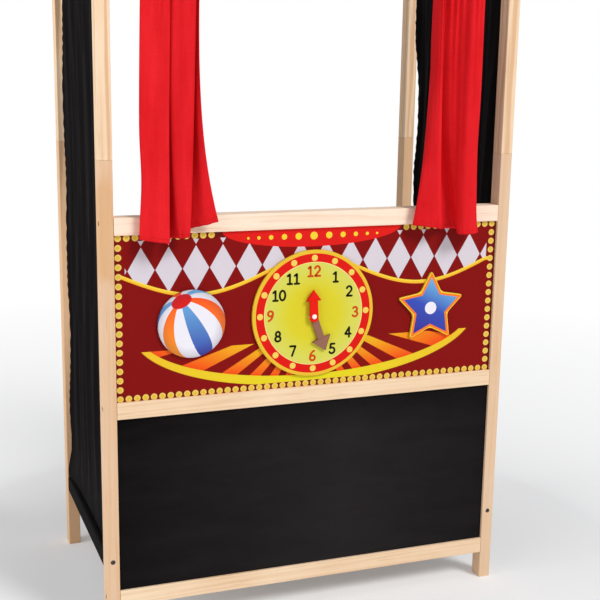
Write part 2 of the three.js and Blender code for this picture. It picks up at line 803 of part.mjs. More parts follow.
function sideCloth(side) {
  const [front, rear] = [post_depth + side_cloth_inset, rear_y - side_cloth_inset];
  const wall_middle = side_cloth_slack + side_sleeve_thickness / 2;
  const top = side_rail_top_z - wall_middle;
  const bottom = side_rail_bottom_z + rail_height + wall_middle;
  const insets = side_edge_insets[side.name];
  const drawn_in = new THREE.SplineCurve(insets.map((inset, i) => new THREE.Vector2(i, inset)));
  const rows = [];
  for (let r = 0; r <= side_cloth_rows; r += 1) {
    const down = r / side_cloth_rows;
    const belly = Math.min(down / side_belly_share, (1 - down) / side_belly_share, 1);
    const waist = drawn_in.getPoint(down).y;
    const ripple = side_ripple * Math.sin(2 * Math.PI * side_ripple_count * down + side.sign) * belly;
    const sway = side_fold_sway_share * Math.sin(side_fold_sway_turn * down + side.sign);
    const row = [];
    for (let c = 0; c <= side_cloth_columns; c += 1) {
      const along = c / side_cloth_columns;
      const turn = 2 * Math.PI * (side_fold_count * along + sway);
      const x = side.sign * post_x + side_fold_depth * belly * Math.sin(turn);
      const edge = rear - (waist + Math.abs(ripple)) * along ** 2;
      const y = THREE.MathUtils.lerp(front, edge, along);
      const z = THREE.MathUtils.lerp(top, bottom, down);
      row.push(new THREE.Vector3(x, y, z));
    }
    rows.push(row);
  }
  const sleeves = side_rails.map((rail) => sideSleeve(side, rail, front, rear));
  const geometry = joined([sheet(rows, cloth_thickness), ...sleeves]);
  return piece(`side_cloth_${side.name}`, geometry, black_cloth(), [side.sign * post_x, front, bottom]);
}

function sideSleeve(side, rail, front, rear) {
  const slack = 2 * side_cloth_slack;
  const wall = 2 * side_sleeve_thickness;
  const outline = roundedRectangle(rail_height + slack + wall, side_rail_width + slack + wall, edge_radius);
  const bore = roundedRectangle(rail_height + slack, side_rail_width + slack, edge_radius);
  const centre = [side.sign * post_x, front, rail.z + rail_height / 2];
  const outside = extrudeAlong("y", outline, rear - front).translate(...centre);
  const inside = extrudeAlong("y", bore, rear - front + 2 * overrun);
  return cut(outside, [inside.translate(centre[0], front - overrun, centre[2])]);
}

// Assembly

function puppetTheaterStand() {
  const booth = new THREE.Group();
  for (const row of ["front", "rear"]) {
    for (const side of sides) booth.add(post(side, row, "lower"), post(side, row, "upper"));
  }
  booth.add(...front_rails.map(frontRail));
  booth.add(crossRail("rear_top_rail", top_rail_z, "rear", []));
  for (const side of sides) booth.add(...side_rails.map((rail) => sideRail(side, rail)));
  booth.add(...frameScrews());

  const [chalk_bay, print_bay, header_bay] = panel_bays;
  booth.add(panel(chalk_bay, dark_board(), []));
  booth.add(panel(print_bay, printed_board(), [clockBore()]));
  booth.add(panel(header_bay, printed_board(), []));

  const hour = handShape(hour_length, hour_shaft, hour_head_width, hour_head_length);
  const minute = handShape(minute_length, minute_shaft, minute_head_width, minute_head_length);
  booth.add(clockDisc(), clockSpacer(), clockPin(), clockPinCap());
  booth.add(clockHand("hour_hand", hour, hour_front, hour_angle, hand_red()));
  booth.add(clockHand("minute_hand", minute, minute_front, minute_angle, hand_brown()));
  booth.add(ballCutout(), starCutout());

  booth.add(curtainRod(), ...sides.map(rodBracket), ...bracketScrewSet());
  booth.add(curtain(left_curtain_style), curtain(right_curtain_style));
  booth.add(...sides.map(sideCloth));

  booth.position.y = -(frame_depth - front_reach) / 2;
  const stand = new THREE.Group();
  stand.add(booth);
  return stand;
}

export default puppetTheaterStand();
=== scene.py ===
"""Dresses the puppet theater stand: pine, printed boards, play clock, curtains and side cloths."""

import math
from types import SimpleNamespace

import bmesh
import bpy
import numpy as np
from mathutils import Matrix, Vector


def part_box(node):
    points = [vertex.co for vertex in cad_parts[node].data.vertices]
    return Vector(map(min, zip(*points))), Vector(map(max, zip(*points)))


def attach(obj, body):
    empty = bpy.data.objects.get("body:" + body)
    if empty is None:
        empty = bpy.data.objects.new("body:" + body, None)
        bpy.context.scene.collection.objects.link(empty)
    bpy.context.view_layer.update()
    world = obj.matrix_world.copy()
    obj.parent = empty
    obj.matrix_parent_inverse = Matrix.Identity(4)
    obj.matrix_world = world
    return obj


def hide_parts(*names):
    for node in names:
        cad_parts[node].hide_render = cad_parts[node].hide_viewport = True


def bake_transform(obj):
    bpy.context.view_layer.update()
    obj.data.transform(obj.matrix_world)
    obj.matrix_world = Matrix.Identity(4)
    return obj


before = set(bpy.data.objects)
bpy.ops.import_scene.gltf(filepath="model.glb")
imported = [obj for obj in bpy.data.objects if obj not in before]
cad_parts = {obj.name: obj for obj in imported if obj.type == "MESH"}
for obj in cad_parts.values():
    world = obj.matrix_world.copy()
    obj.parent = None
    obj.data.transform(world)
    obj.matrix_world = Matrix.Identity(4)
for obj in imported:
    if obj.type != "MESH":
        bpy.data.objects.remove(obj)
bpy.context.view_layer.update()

MM = 0.001
TURN = 2 * math.pi
WHITE = (255, 255, 255)
PRINT_SOFT = 0.5 * MM


# Places on the frame, in metres

def span(node, axis):
    """The lowest and the highest coordinate of a node along x, y or z."""
    return [end["xyz".index(axis)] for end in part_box(node)]


def corner(node, end, axis):
    """The lowest (0) or highest (1) coordinate of a node along x, y or z."""
    return span(node, axis)[end]


def middle(node, axis):
    """The coordinate half-way along a node."""
    return sum(span(node, axis)) / 2


def half(node, axis):
    """Half a node's reach along x, y or z."""
    low, high = span(node, axis)
    return (high - low) / 2


sill_bottom, sill_top = span("sill_rail", "z")
lower_rail_top = corner("lower_rail", 1, "z")
front_y = corner("sill_rail", 0, "y")
inner_x = corner("front_post_right_lower", 0, "x")
dial_x, dial_z = middle("clock_disc", "x"), middle("clock_disc", "z")
dial_radius = half("clock_disc", "x")
dial_front = corner("clock_disc", 0, "y")
pivot_x, pivot_z = middle("clock_pin", "x"), middle("clock_pin", "z")
rod_y, rod_z = middle("curtain_rod", "y"), middle("curtain_rod", "z")
rod_radius = half("curtain_rod", "z")


# Shader expressions

def plain(operation):
    """A method that puts a value, and any others, through one Math operation."""
    return lambda self, *others: self.maths(operation, self, *others)


class Value:
    """A shader socket; sums, products and functions of it add Math nodes."""

    def __init__(self, paint, socket):
        self.paint = paint
        self.socket = socket

    def maths(self, operation, *operands, clamp=False):
        inputs = dict(enumerate(operands))
        return self.paint.node("Math", inputs, operation=operation, use_clamp=clamp)

    __add__ = __radd__ = plain("ADD")
    __sub__ = plain("SUBTRACT")
    __mul__ = __rmul__ = plain("MULTIPLY")
    __truediv__ = plain("DIVIDE")
    __pow__ = plain("POWER")
    __abs__ = plain("ABSOLUTE")
    sin, cos, sqrt, fraction = map(plain, ("SINE", "COSINE", "SQRT", "FRACT"))
    least, most, bearing = map(plain, ("MINIMUM", "MAXIMUM", "ARCTAN2"))

    def __rsub__(self, other):
        return self.maths("SUBTRACT", other, self)

    def clamped(self):
        return self.maths("ADD", self, 0.0, clamp=True)

    def repeated(self, pitch):
        """The distance from the nearest multiple of the pitch, from minus half of it to half."""
        return ((self / pitch + 0.5).fraction() - 0.5) * pitch

    def above(self, edge, soft=PRINT_SOFT):
        """0 below the edge and 1 above it, with a straight ramp as wide as soft."""
        return self.maths("ADD", (self - edge) / soft, 0.5, clamp=True)

    def below(self, edge, soft=PRINT_SOFT):
        """1 below the edge and 0 above it, with a straight ramp as wide as soft."""
        return self.maths("SUBTRACT", 0.5, (self - edge) / soft, clamp=True)


def length_of(across, up):
    """The length of the vector (across, up)."""
    return (across ** 2.0 + up ** 2.0).sqrt()


class Paint:
    """A node tree being written, of a new material or of the given owner; node() adds any node."""

    def __init__(self, name, owner=None):
        self.owner = owner or bpy.data.materials.new(name)
        self.owner.use_nodes = True
        self.tree = self.owner.node_tree
        self.tree.nodes.clear()

    def node(self, kind, inputs=None, output=0, **settings):
        """One node: its settings first, then its sockets' values or links."""
        made = self.tree.nodes.new("ShaderNode" + kind)
        for key, value in settings.items():
            setattr(made, key, value)
        for key, value in (inputs or {}).items():
            if isinstance(value, Value):
                self.tree.links.new(value.socket, made.inputs[key])
            else:
                made.inputs[key].default_value = value
        return Value(self, made.outputs[output])

    def place(self):
        """Object coordinates, which are the stand's own metres."""
        return self.node("TexCoord", output="Object")

    def cloth_place(self):
        """Metres across and along the cloth, from the piece's own map."""
        return self.node("UVMap", uv_map="cloth")

    def parts(self, vector):
        """The vector's x, y and z."""
        return [self.node("SeparateXYZ", {0: vector}, i) for i in range(3)]

    def point(self, x, y, z):
        return self.node("CombineXYZ", {0: x, 1: y, 2: z})

    def stretched(self, vector, scale):
        return self.node("VectorMath", {0: vector, 1: scale}, operation="MULTIPLY")

    def noise(self, vector, scale, detail=2.0, roughness=0.5, distortion=0.0):
        inputs = {"Vector": vector, "Scale": scale, "Detail": detail}
        inputs |= {"Roughness": roughness, "Distortion": distortion}
        return self.node("TexNoise", inputs, "Fac")

    def mix(self, share, first, second):
        """The first colour where the share is 0 and the second where it is 1."""
        inputs = {0: share, 6: linear(first), 7: linear(second)}
        return self.node("Mix", inputs, 2, data_type="RGBA")

    def layers(self, art, *covers):
        """Lays each (share, colour) over what is there already."""
        for share, tint in covers:
            art = self.mix(share, art, tint)
        return art

    def ramp(self, value, *stops):
        """Colours by a value: the stops at 0 and 1 first, then those between."""
        made = self.node("ValToRGB", {0: value})
        elements = made.socket.node.color_ramp.elements
        for place, _ in stops[2:]:
            elements.new(place)
        for element, (place, tint) in zip(elements, sorted(stops)):
            element.position, element.color = place, linear(tint)
        return made

    def surface(self, colour, roughness, height, depth, specular=0.5, metallic=0.0):
        """The closing shader; height feeds a bump of that depth in metres."""
        bump = self.node("Bump", {"Height": height, "Distance": depth})
        inputs = {"Base Color": colour, "Roughness": roughness, "Normal": bump}
        inputs |= {"Specular IOR Level": specular, "Metallic": metallic}
        return self.closed(self.node("BsdfPrincipled", inputs))

    def printed(self, art, roughness, specular):
        """The closing shader of a print, with a faint tooth."""
        tooth = self.noise(self.place(), 1500.0)
        return self.surface(art, roughness, tooth, 0.02 * MM, specular)

    def closed(self, shader, kind="Material"):
        output = self.tree.nodes.new("ShaderNodeOutput" + kind)
        self.tree.links.new(shader.socket, output.inputs["Surface"])
        return self.owner


def placed_paint(name):
    """A new paint, with the object's x, y and z."""
    paint = Paint(name)
    return paint, *paint.parts(paint.place())


def linear(tint):
    """A screen colour from 0 to 255 as the linear colour that a socket takes; a Value stays one."""
    if isinstance(tint, Value):
        return tint
    steps = [value / 255 for value in tint]
    return (*(s / 12.92 if s <= 0.04045 else ((s + 0.055) / 1.055) ** 2.4 for s in steps), 1.0)


# Finishes

def pine(name, along, warmth=0.0, heart=None, pale=(241, 214, 181), lines=0.6):
    """Planed pine: uneven growth bands and fine fibres along one axis, rings on the ends, and
    between two heights a darker length of heartwood."""
    paint = Paint(name)
    place = paint.place()
    fibre = paint.stretched(place, [0.04 if axis == along else 1.0 for axis in "xyz"])
    x, y, z = paint.parts(place)
    across = {"x": (y, z), "y": (x, z), "z": (x, y)}[along]
    drift = paint.noise(fibre, 22.0, 3.0, 0.6)
    late = paint.noise(fibre, 95.0)
    fine = paint.noise(fibre, 900.0, 2.0, 0.6)
    cloud = paint.noise(place, 9.0)
    band_turns = (across[0] * 0.7 + across[1] * 1.1) * 520.0 + drift * 34.0
    bands = band_turns.sin() * 0.5 + 0.5
    tone = bands ** 2.0 * late * lines + (fine - 0.5) * 0.4 + (cloud - 0.5) * 0.9
    tone = (tone + 0.12 + warmth).clamped()
    face = paint.mix(tone, pale, (219, 178, 138))
    if heart:
        edge = z + (drift - 0.5) * 0.12 + (cloud - 0.5) * 0.1
        length = edge.above(heart[0], 0.02) * edge.below(heart[1], 0.04)
        face = paint.mix(length * (0.5 + late * 0.7), face, (213, 168, 122))
    flecks = paint.noise(fibre, 260.0, 1.0, 0.4).above(0.69, 0.05)
    face = paint.mix(flecks * 0.3, face, (196, 148, 108))
    end_place = paint.stretched(place, [0.0 if axis == along else 1.0 for axis in "xyz"])
    wobble = paint.noise(end_place, 60.0) * 9.0
    ring_turns = length_of(across[0], across[1] + 0.03) * 4200.0 + wobble
    rings = ring_turns.sin() * 0.5 + 0.5
    ends = paint.mix(rings * 0.6 + fine * 0.2, (228, 192, 150), (196, 150, 108))
    normal = paint.parts(paint.node("NewGeometry", output="Normal"))["xyz".index(along)]
    grain = paint.mix(abs(normal).above(0.8, 0.2), face, ends)
    rough = 0.5 + bands * 0.08 + fine * 0.12
    return paint.surface(grain, rough, bands * 0.2 + fine * 0.8, 0.1 * MM, specular=0.2)


def woven(name, base, shade, stitch):
    """Plain cotton weave: over and under threads from the cloth's own map, slubs and creases."""
    paint = Paint(name)
    u, v, _ = paint.parts(paint.cloth_place())
    threads = TURN / thread_pitch
    weave = (u * threads).sin() * (v * threads).sin() * 0.5 + 0.5
    slubs = paint.noise(paint.point(u, v * 0.04, 0.0), 900.0, 1.0)
    slubs = slubs + paint.noise(paint.point(u * 0.04, v, 3.0), 900.0, 1.0)
    crease = paint.noise(paint.point(u * 1.6, v * 0.5, 7.0), 16.0, 3.0, 0.6)
    soft = paint.noise(paint.place(), 9.0)
    streak = paint.noise(paint.point(u, v * 0.12, 5.0), 70.0)
    tone = weave * 0.16 + (slubs - 1.0) * 0.5 + (soft + streak - 1.0) * 0.9 + 0.35
    seam = stitch_mask(u, v, stitch)
    dyed = paint.mix(seam * 0.55, paint.mix(tone.clamped(), base, shade), shade)
    height = weave * 0.25 + slubs * 0.25 + crease * 1.6 - seam * 0.8
    return paint.surface(dyed, 0.82 + weave * 0.12, height, thread_pitch, specular=0.05)


def stitch_mask(u, v, stitch):
    """Dashes of thread along one line at v = stitch, 3 mm long with 1 mm between them."""
    line = abs(v - stitch).below(0.5 * MM, 0.4 * MM)
    dash = abs(u.repeated(4 * MM)).below(1.5 * MM, 0.4 * MM)
    return line * dash


def board_back(paint, y, printed, node):
    """Bare brown fibreboard behind a board's printed face, from a depth inside it on."""
    speck = paint.noise(paint.place(), 420.0, 3.0, 0.7)
    bare = paint.mix(speck, (196, 164, 124), (160, 124, 86))
    return paint.mix(y.above(corner(node, 0, "y") + print_skin, 0.2 * MM), printed, bare)


def lamp_border(x, z, left, right, low, high, count_x, count_z):
    """The distance from the nearest of the lamp dots that stand evenly round a rectangle."""
    along_x = (x - left).repeated((right - left) / count_x)
    along_z = (z - low).repeated((high - low) / count_z)
    beside = abs(abs(x - (left + right) / 2) - (right - left) / 2)
    above = abs(abs(z - (low + high) / 2) - (high - low) / 2)
    return length_of(along_z, beside).least(length_of(along_x, above))


def lozenges(x, z, middle_x, middle_z, pitch_x, pitch_z):
    """1 inside the pale lozenges of a harlequin check, whose tips just miss each other."""
    across = abs((x - middle_x).repeated(pitch_x)) / (pitch_x / 2)
    along = abs((z - middle_z).repeated(pitch_z)) / (pitch_z / 2)
    return (across + along).below(0.97, 0.025)


thread_pitch = 0.6 * MM
lamp_radius = 5.4 * MM
lamps_across = 48
print_skin = 1 * MM
check_height = 76 * MM
check_margin = 17 * MM
ray_count = 30
bowl_soft = 0.006


def lamp_colour(paint, gap):
    """A lamp dot's colours from its centre to its rim."""
    return paint.ramp(
        gap / lamp_radius,
        (0.0, (208, 186, 62)),
        (1.0, (236, 186, 92)),
        (0.5, (216, 190, 64)),
        (0.78, (240, 196, 106)),
    )


def circus_ground(paint, first, second):
    """The mottle, the red ground and the white of the harlequin."""
    mottle = paint.noise(paint.place(), 6.0)
    white = paint.mix(mottle, (217, 207, 213), (206, 198, 207))
    return mottle, paint.mix(mottle, first, second), white


def with_lamps(paint, art, edge, gap):
    """Adds a darker margin along the board's edges, with the lamp dots over it."""
    margin = (edge.below(10 * MM), (108, 22, 14))
    dots = (gap.below(lamp_radius), lamp_colour(paint, gap))
    return paint.layers(art, margin, dots)


def on_board(paint, y, art, mottle, node):
    """Closes a print on a board whose back is bare."""
    return paint.printed(board_back(paint, y, art, node), 0.42 + mottle * 0.08, 0.06)


def swag_edge(x):
    """The lower edge of the harlequin: one hanging curve on each side of the dial."""
    start, end = 0.68 * dial_radius, inner_x - 14 * MM
    below_sill, depth = 94 * MM, 35 * MM
    run = ((abs(x - dial_x) - start) / (end - start)).clamped()
    return sill_top - below_sill - (run * math.pi).sin() * depth


def printed_panel():
    """Circus print: lamp dots, swagged harlequin, red pelmet and a fan of rays under the dial."""
    paint, x, y, z = placed_paint("circus_print")
    mottle, ground, white = circus_ground(paint, (134, 17, 15), (123, 13, 12))

    swag = z - swag_edge(x)
    check = lozenges(x, z, 18.2 * MM, sill_top - 85.5 * MM, 44.74 * MM, check_height)
    check = check * abs(x).below(inner_x - check_margin)
    cord_shade = (swag / (6 * MM) + 0.5).clamped()
    cord = paint.mix(cord_shade, (236, 170, 40), (242, 214, 70))

    across, rise = x - dial_x, z - dial_z
    fan = (across.bearing(rise) * (ray_count / TURN)).fraction()
    bowl = length_of(across / (296 * MM), (rise + 14 * MM) / (92 * MM))
    outer_bowl = length_of(across / (306 * MM), (rise + 14 * MM) / (108 * MM))
    low_half = rise.below(-46 * MM)
    glow = paint.ramp(
        bowl,
        (0.0, (232, 210, 40)),
        (1.0, (236, 74, 24)),
        (0.45, (232, 190, 36)),
        (0.75, (236, 136, 28)),
    )
    rays = fan.above(0.5, 0.01) * bowl.below(1.0, bowl_soft) * low_half
    crescent = outer_bowl.below(1.0, bowl_soft) * bowl.above(1.0, bowl_soft) * low_half
    to_tip = (abs(across) / (300 * MM)).clamped()
    sheen = paint.mix(to_tip, (222, 212, 34), (232, 186, 44))
    art = paint.layers(
        ground,
        (check * swag.above(0.0), white),
        (abs(swag).below(3.2 * MM), cord),
        (rays, glow),
        (crescent, sheen),
    )

    edge = (inner_x - abs(x)).least((z - lower_rail_top).least(sill_bottom - z))
    left, right = -331.3 * MM, 329.6 * MM
    low, high = sill_top - 293.4 * MM, sill_top - 32.8 * MM
    gap = lamp_border(x, z, left, right, low, high, lamps_across, 17)
    column = x - (x - left).repeated((right - left) / lamps_across)
    at_pelmet = abs(column - dial_x).below(166 * MM)
    at_pelmet = at_pelmet * z.above(sill_bottom - 14 * MM)
    art = with_lamps(paint, art, edge, gap + at_pelmet * 0.05)
    pelmet = length_of(across / (158 * MM), (z - sill_bottom) / (31 * MM))
    art = paint.mix(pelmet.below(1.0, 0.012), art, (218, 30, 26))
    row = z - (sill_bottom - 13 * MM)
    for offset, size in ((0, 6.5), (27, 5.6), (52, 4.7), (75, 3.8), (96, 2.9), (114, 2.1)):
        spot = length_of(abs(across) - offset * MM, row)
        art = paint.mix(spot.below(size * MM), art, (236, 206, 54))
    return on_board(paint, y, art, mottle, "print_panel")


def printed_header():
    """The same check and lamp dots on the header board."""
    paint, x, y, z = placed_paint("header_print")
    low, high = corner("header_rail", 1, "z"), corner("top_rail", 0, "z")
    mottle, ground, white = circus_ground(paint, (139, 22, 19), (128, 17, 15))
    edge = (inner_x - abs(x)).least((z - low).least(high - z))
    check = lozenges(x, z, 0.0, (low + high) / 2, 44 * MM, check_height)
    art = paint.mix(check * edge.above(check_margin), ground, white)
    side, inset = 330.5 * MM, 7.5 * MM
    gap = lamp_border(x, z, -side, side, low + inset, high - inset, lamps_across, 7)
    art = with_lamps(paint, art, edge, gap)
    return on_board(paint, y, art, mottle, "header_panel")


def dial_print():
    """Yellow rim, red ring with pale lamp dots and a green-yellow face, all by the radius."""
    paint, x, _, z = placed_paint("dial_print")
    across, up = x - dial_x, z - dial_z
    radius = length_of(across, up) / dial_radius
    face = paint.ramp(
        radius,
        (0.0, (216, 198, 34)),
        (1.0, (218, 208, 116)),
        (0.42, (216, 204, 46)),
        (0.72, (211, 210, 94)),
    )
    cloud = paint.noise(paint.place(), 60.0)
    face = paint.mix(cloud * 0.25, face, (206, 190, 38))
    ring_start, ring_middle, ring_end, soft = 0.812, 0.876, 0.945, 0.004
    folded = across.bearing(up).repeated(TURN / 16)
    dot_gap = length_of(radius * folded.sin(), radius * folded.cos() - ring_middle)
    art = paint.layers(
        face,
        (radius.above(ring_start, soft) * radius.below(ring_end, soft), (216, 24, 18)),
        (radius.above(ring_end, soft), (228, 186, 50)),
        (abs(radius - (ring_start - soft)).below(0.006, soft) * 0.6, (248, 226, 150)),
        (dot_gap.below(0.049, soft), (236, 204, 92)),
    )
    return paint.printed(art, 0.32 + cloud * 0.08, 0.08)


def ball_print(middle_x, middle_z, radius):
    """A beach ball seen from the side: six gores round a tilted pole, with a cap at the pole."""
    paint, x, _, z = placed_paint("ball_print")
    across, up = (x - middle_x) / radius, (z - middle_z) / radius
    bulge = (1.0 - across ** 2.0 - up ** 2.0).most(0.0).sqrt()
    tilt, lean = math.radians(38), math.radians(24)
    side = across * math.cos(lean) + up * math.sin(lean)
    rise = up * math.cos(lean) - across * math.sin(lean)
    pole = rise * math.cos(tilt) + bulge * math.sin(tilt)
    near = bulge * math.cos(tilt) - rise * math.sin(tilt)
    turns = side.bearing(near) / TURN
    gore = (turns * 6.0 + 0.2).fraction()
    wedge = (turns * 3.0 + 0.1).fraction()
    height = up * 0.5 + 0.5
    sky = paint.ramp(height, (0.0, (50, 56, 158)), (1.0, (112, 176, 224)))
    warm = paint.ramp(height, (0.0, (240, 150, 40)), (1.0, (248, 70, 24)))
    art = paint.layers(
        sky,
        (wedge.above(0.5, 0.01), warm),
        (gore.above(0.5, 0.02), (232, 228, 236)),
        (pole.above(0.95, 0.01), (206, 24, 22)),
        ((across * across + up * up).above(0.72, 0.5) * 0.35, (60, 30, 60)),
    )
    return paint.printed(art, 0.34, 0.15)


def star_print(middle_x, middle_z, tip, waist, points):
    """A star shaded from violet to sky blue, with an orange band inside its outline."""
    paint, x, _, z = placed_paint("star_print")
    across, up = x - middle_x, z - middle_z
    radius = length_of(across, up)
    folded = abs(across.bearing(up).repeated(TURN / points))
    half_point = math.pi / points
    run = (waist * math.cos(half_point) - tip, waist * math.sin(half_point))
    length = math.hypot(*run)
    inward = (-run[1] / length, run[0] / length)
    edge = (radius * folded.cos() - tip) * inward[0] + radius * folded.sin() * inward[1]
    sky = paint.ramp(
        (up / tip) * 0.5 + (across / tip) * 0.25 + 0.5,
        (0.0, (56, 40, 132)),
        (1.0, (120, 190, 230)),
        (0.5, (54, 76, 176)),
    )
    soft = 0.4 * MM
    art = paint.layers(
        sky,
        (edge.below(5.5 * MM, soft), (246, 120, 30)),
        (edge.below(1.6 * MM, soft), (236, 206, 60)),
        (radius.below(11 * MM, soft), (232, 228, 236)),
    )
    return paint.printed(art, 0.34, 0.15)


def painted(name, base, worn):
    """Sprayed paint on board: a faint orange peel and slightly worn patches."""
    paint = Paint(name)
    cloud = paint.noise(paint.place(), 70.0, 3.0)
    peel = paint.noise(paint.place(), 700.0, 1.0)
    worn_paint = paint.mix(cloud, base, worn)
    return paint.surface(worn_paint, 0.4 + cloud * 0.15, peel, 0.06 * MM, specular=0.06)


def slate_paint():
    """Matte chalkboard paint with a fine tooth and random streaks, and a painted sheen: paler from
    under its top downwards and towards the middle.
    """
    paint = Paint("slate_paint")
    place = paint.place()
    x, y, z = paint.parts(place)
    wipe = paint.noise(paint.stretched(place, (1.0, 1.0, 3.5)), 7.0, 4.0, 0.65, 0.6)
    dust = paint.noise(place, 260.0)
    # Painted sheen: the paint grows paler downwards from just over the board's top and towards x =
    # 0.06 m.
    over_top, fade, sheen_middle_x, sheen_reach = 0.04, 0.11, 0.06, 0.55
    low = ((corner("chalkboard", 1, "z") + over_top - z) / fade).clamped()
    painted_sheen = (1.0 - abs(x - sheen_middle_x) / sheen_reach).clamped() * low
    tone = (painted_sheen * 0.9 + (wipe - 0.5) * 0.6 + (dust - 0.5) * 0.15).clamped()
    face = paint.mix(tone, (7, 6, 6), (38, 35, 36))
    face = board_back(paint, y, face, "chalkboard")
    return paint.surface(face, 0.74 + dust * 0.15, dust, 0.08 * MM, specular=0.04)


def dark_steel():
    """Blackened screw steel, brighter where a driver has rubbed it."""
    paint = Paint("dark_screw_steel")
    rub = paint.noise(paint.place(), 900.0)
    tint = paint.mix(rub, (52, 49, 46), (110, 104, 98))
    return paint.surface(tint, 0.32 + rub * 0.25, rub, 0.04 * MM, metallic=0.85)


def bright_cap():
    """The push-on cap's zinc, with a fine turned ring pattern."""
    paint, x, _, z = placed_paint("zinc_cap")
    rings = (length_of(x - pivot_x, z - pivot_z) * 9000.0).sin() * 0.5 + 0.5
    tint = paint.mix(rings, (168, 170, 172), (196, 198, 200))
    return paint.surface(tint, 0.3 + rings * 0.1, rings, 0.03 * MM, metallic=1.0)


def white_plastic():
    """Moulded white plastic with a soft mould texture."""
    paint = Paint("white_plastic")
    cloud = paint.noise(paint.place(), 300.0)
    tint = paint.mix(cloud, (250, 246, 242), (240, 232, 226))
    return paint.surface(tint, 0.22 + cloud * 0.1, cloud, 0.04 * MM)


# Meshes

def joined(*coordinates):
    """Coordinates that broadcast together, as one grid of points."""
    return np.stack(np.broadcast_arrays(*coordinates), axis=-1)


def grid_faces(rows, columns, round_columns=False):
    """Quads over a grid of points in row order; round columns join the last one to the first."""
    r = np.arange(rows - 1)[:, None] * columns
    c = np.arange(columns if round_columns else columns - 1)[None, :]
    beside = (c + 1) % columns
    return joined(r + c, r + beside, r + columns + beside, r + columns + c).reshape(-1, 4)


def capped_faces(rows, columns):
    """Quads round a stack of rings, and one face each over the first and the last ring."""
    last = (rows - 1) * columns
    ends = [list(range(columns)), list(range(last, last + columns))]
    return grid_faces(rows, columns, True).tolist() + ends


def placed(name, data):
    """A new object in the scene."""
    holder = bpy.data.objects.new(name, data)
    bpy.context.scene.collection.objects.link(holder)
    return holder


def mesh_piece(name, points, faces, material, body, smooth=True):
    """A mesh object at the origin, with its place in its points; it rides on the body, if given."""
    mesh = bpy.data.meshes.new(name)
    faces = [list(map(int, face)) for face in faces]
    mesh.from_pydata(np.reshape(points, (-1, 3)).tolist(), [], faces)
    shade = mesh.shade_smooth if smooth else mesh.shade_flat
    shade()
    mesh.materials.append(material)
    piece = placed(name, mesh)
    if body:
        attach(piece, body)
    return piece


def sealed(piece, distance=1e-6):
    """Merges doubled points and turns every face outwards."""
    work = bmesh.new()
    work.from_mesh(piece.data)
    bmesh.ops.remove_doubles(work, verts=work.verts, dist=distance)
    bmesh.ops.dissolve_degenerate(work, edges=work.edges, dist=distance)
    bmesh.ops.recalc_face_normals(work, faces=work.faces)
    work.to_mesh(piece.data)
    work.free()
    return piece


def stand_in(piece, node):
    """Hides the CAD node whose place the piece takes."""
    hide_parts(node)


def run_lengths(points, axis):
    """The distance run along the given axis of a grid of points, averaged over the other one."""
    steps = np.linalg.norm(np.diff(points, axis=axis), axis=-1).mean(axis=1 - axis)
    return np.insert(np.cumsum(steps), 0, 0.0)


def cloth_piece(name, points, material, body, across, along):
    """A cloth over a grid of points; metres across and along it are its own map."""
    piece = mesh_piece(name, points, grid_faces(*points.shape[:2]), material, body)
    layer = piece.data.uv_layers.new(name="cloth")
    point = np.empty(len(piece.data.loops), dtype=np.int64)
    piece.data.loops.foreach_get("vertex_index", point)
    flat = joined(across, along).reshape(-1, 2)[point]
    layer.data.foreach_set("uv", flat.astype(np.float32).reshape(-1))
    solid = piece.modifiers.new("cloth_thickness", "SOLIDIFY")
    solid.thickness = 0.5 * MM
    solid.offset = 0.0
    return piece


def ring_coordinates(radius, sides):
    """The two coordinates of one ring of points for each radius."""
    angle = np.arange(sides) * TURN / sides
    return [radius[:, None] * np.cos(angle), radius[:, None] * np.sin(angle)]


def ringed_points(axis, along, ring, centre):
    """Points of rings across x, y or z, at distances along it counted from the centre."""
    index = "xyz".index(axis)
    return joined(*ring[:index], along, *ring[index:]) + np.array(centre)


def turned_piece(name, profile, centre, axis, material, sides):
    """Revolves (distance along the axis, radius) points once round an axis through the centre."""
    along, radius = np.array(profile).T
    points = ringed_points(axis, along[:, None], ring_coordinates(radius, sides), centre)
    faces = grid_faces(len(profile), sides, True)
    return sealed(mesh_piece(name, points, faces, material, "frame"))


def quarter_round(start, end):
    """Points of a quarter ellipse from start to end, leaving along the first coordinate."""
    (x0, y0), (x1, y1) = start, end
    angle = np.linspace(0, math.pi / 2, 7)
    return [(x0 + (x1 - x0) * math.sin(a), y1 + (y0 - y1) * math.cos(a)) for a in angle]


def plate(name, node, outline, rim, body, material):
    """A flat board in a node's place, cut to an outline of (x, z) points that turns from +x to
    +z, with its front edge rounded.

    Each rim ring steps in along the outline's normals by rim * (1 - cos a) and forward by
    rim * sin a, as a quarter circle does.
    """
    front, back = span(node, "y")
    outline = np.array(outline)
    run = np.roll(outline, -1, axis=0) - np.roll(outline, 1, axis=0)
    normal = joined(run[:, 1], -run[:, 0])
    normal /= np.linalg.norm(normal, axis=1, keepdims=True)
    stack = [np.insert(outline, 1, back, axis=1)]
    for a in np.linspace(0, math.pi / 2, 5):
        ring = outline - rim * (1 - math.cos(a)) * normal
        stack.append(np.insert(ring, 1, front + rim * (1 - math.sin(a)), axis=1))
    faces = capped_faces(len(stack), len(outline))
    piece = sealed(mesh_piece(name, np.stack(stack), faces, material, body))
    for polygon in piece.data.polygons:
        polygon.use_smooth = len(polygon.vertices) <= 4
    stand_in(piece, node)


def arc(centre, radii, start, end, steps=24):
    """Points of an ellipse's arc between two angles in degrees, counted from +x towards +z."""
    angle = np.radians(np.linspace(start, end, steps + 1))
    return np.array(centre) + joined(radii[0] * np.cos(angle), radii[1] * np.sin(angle))


def halves(centre, radii, start):
    """A whole ellipse as two strokes, the first from the start angle on."""
    return [arc(centre, radii, start, start + 180), arc(centre, radii, start - 180, start)]


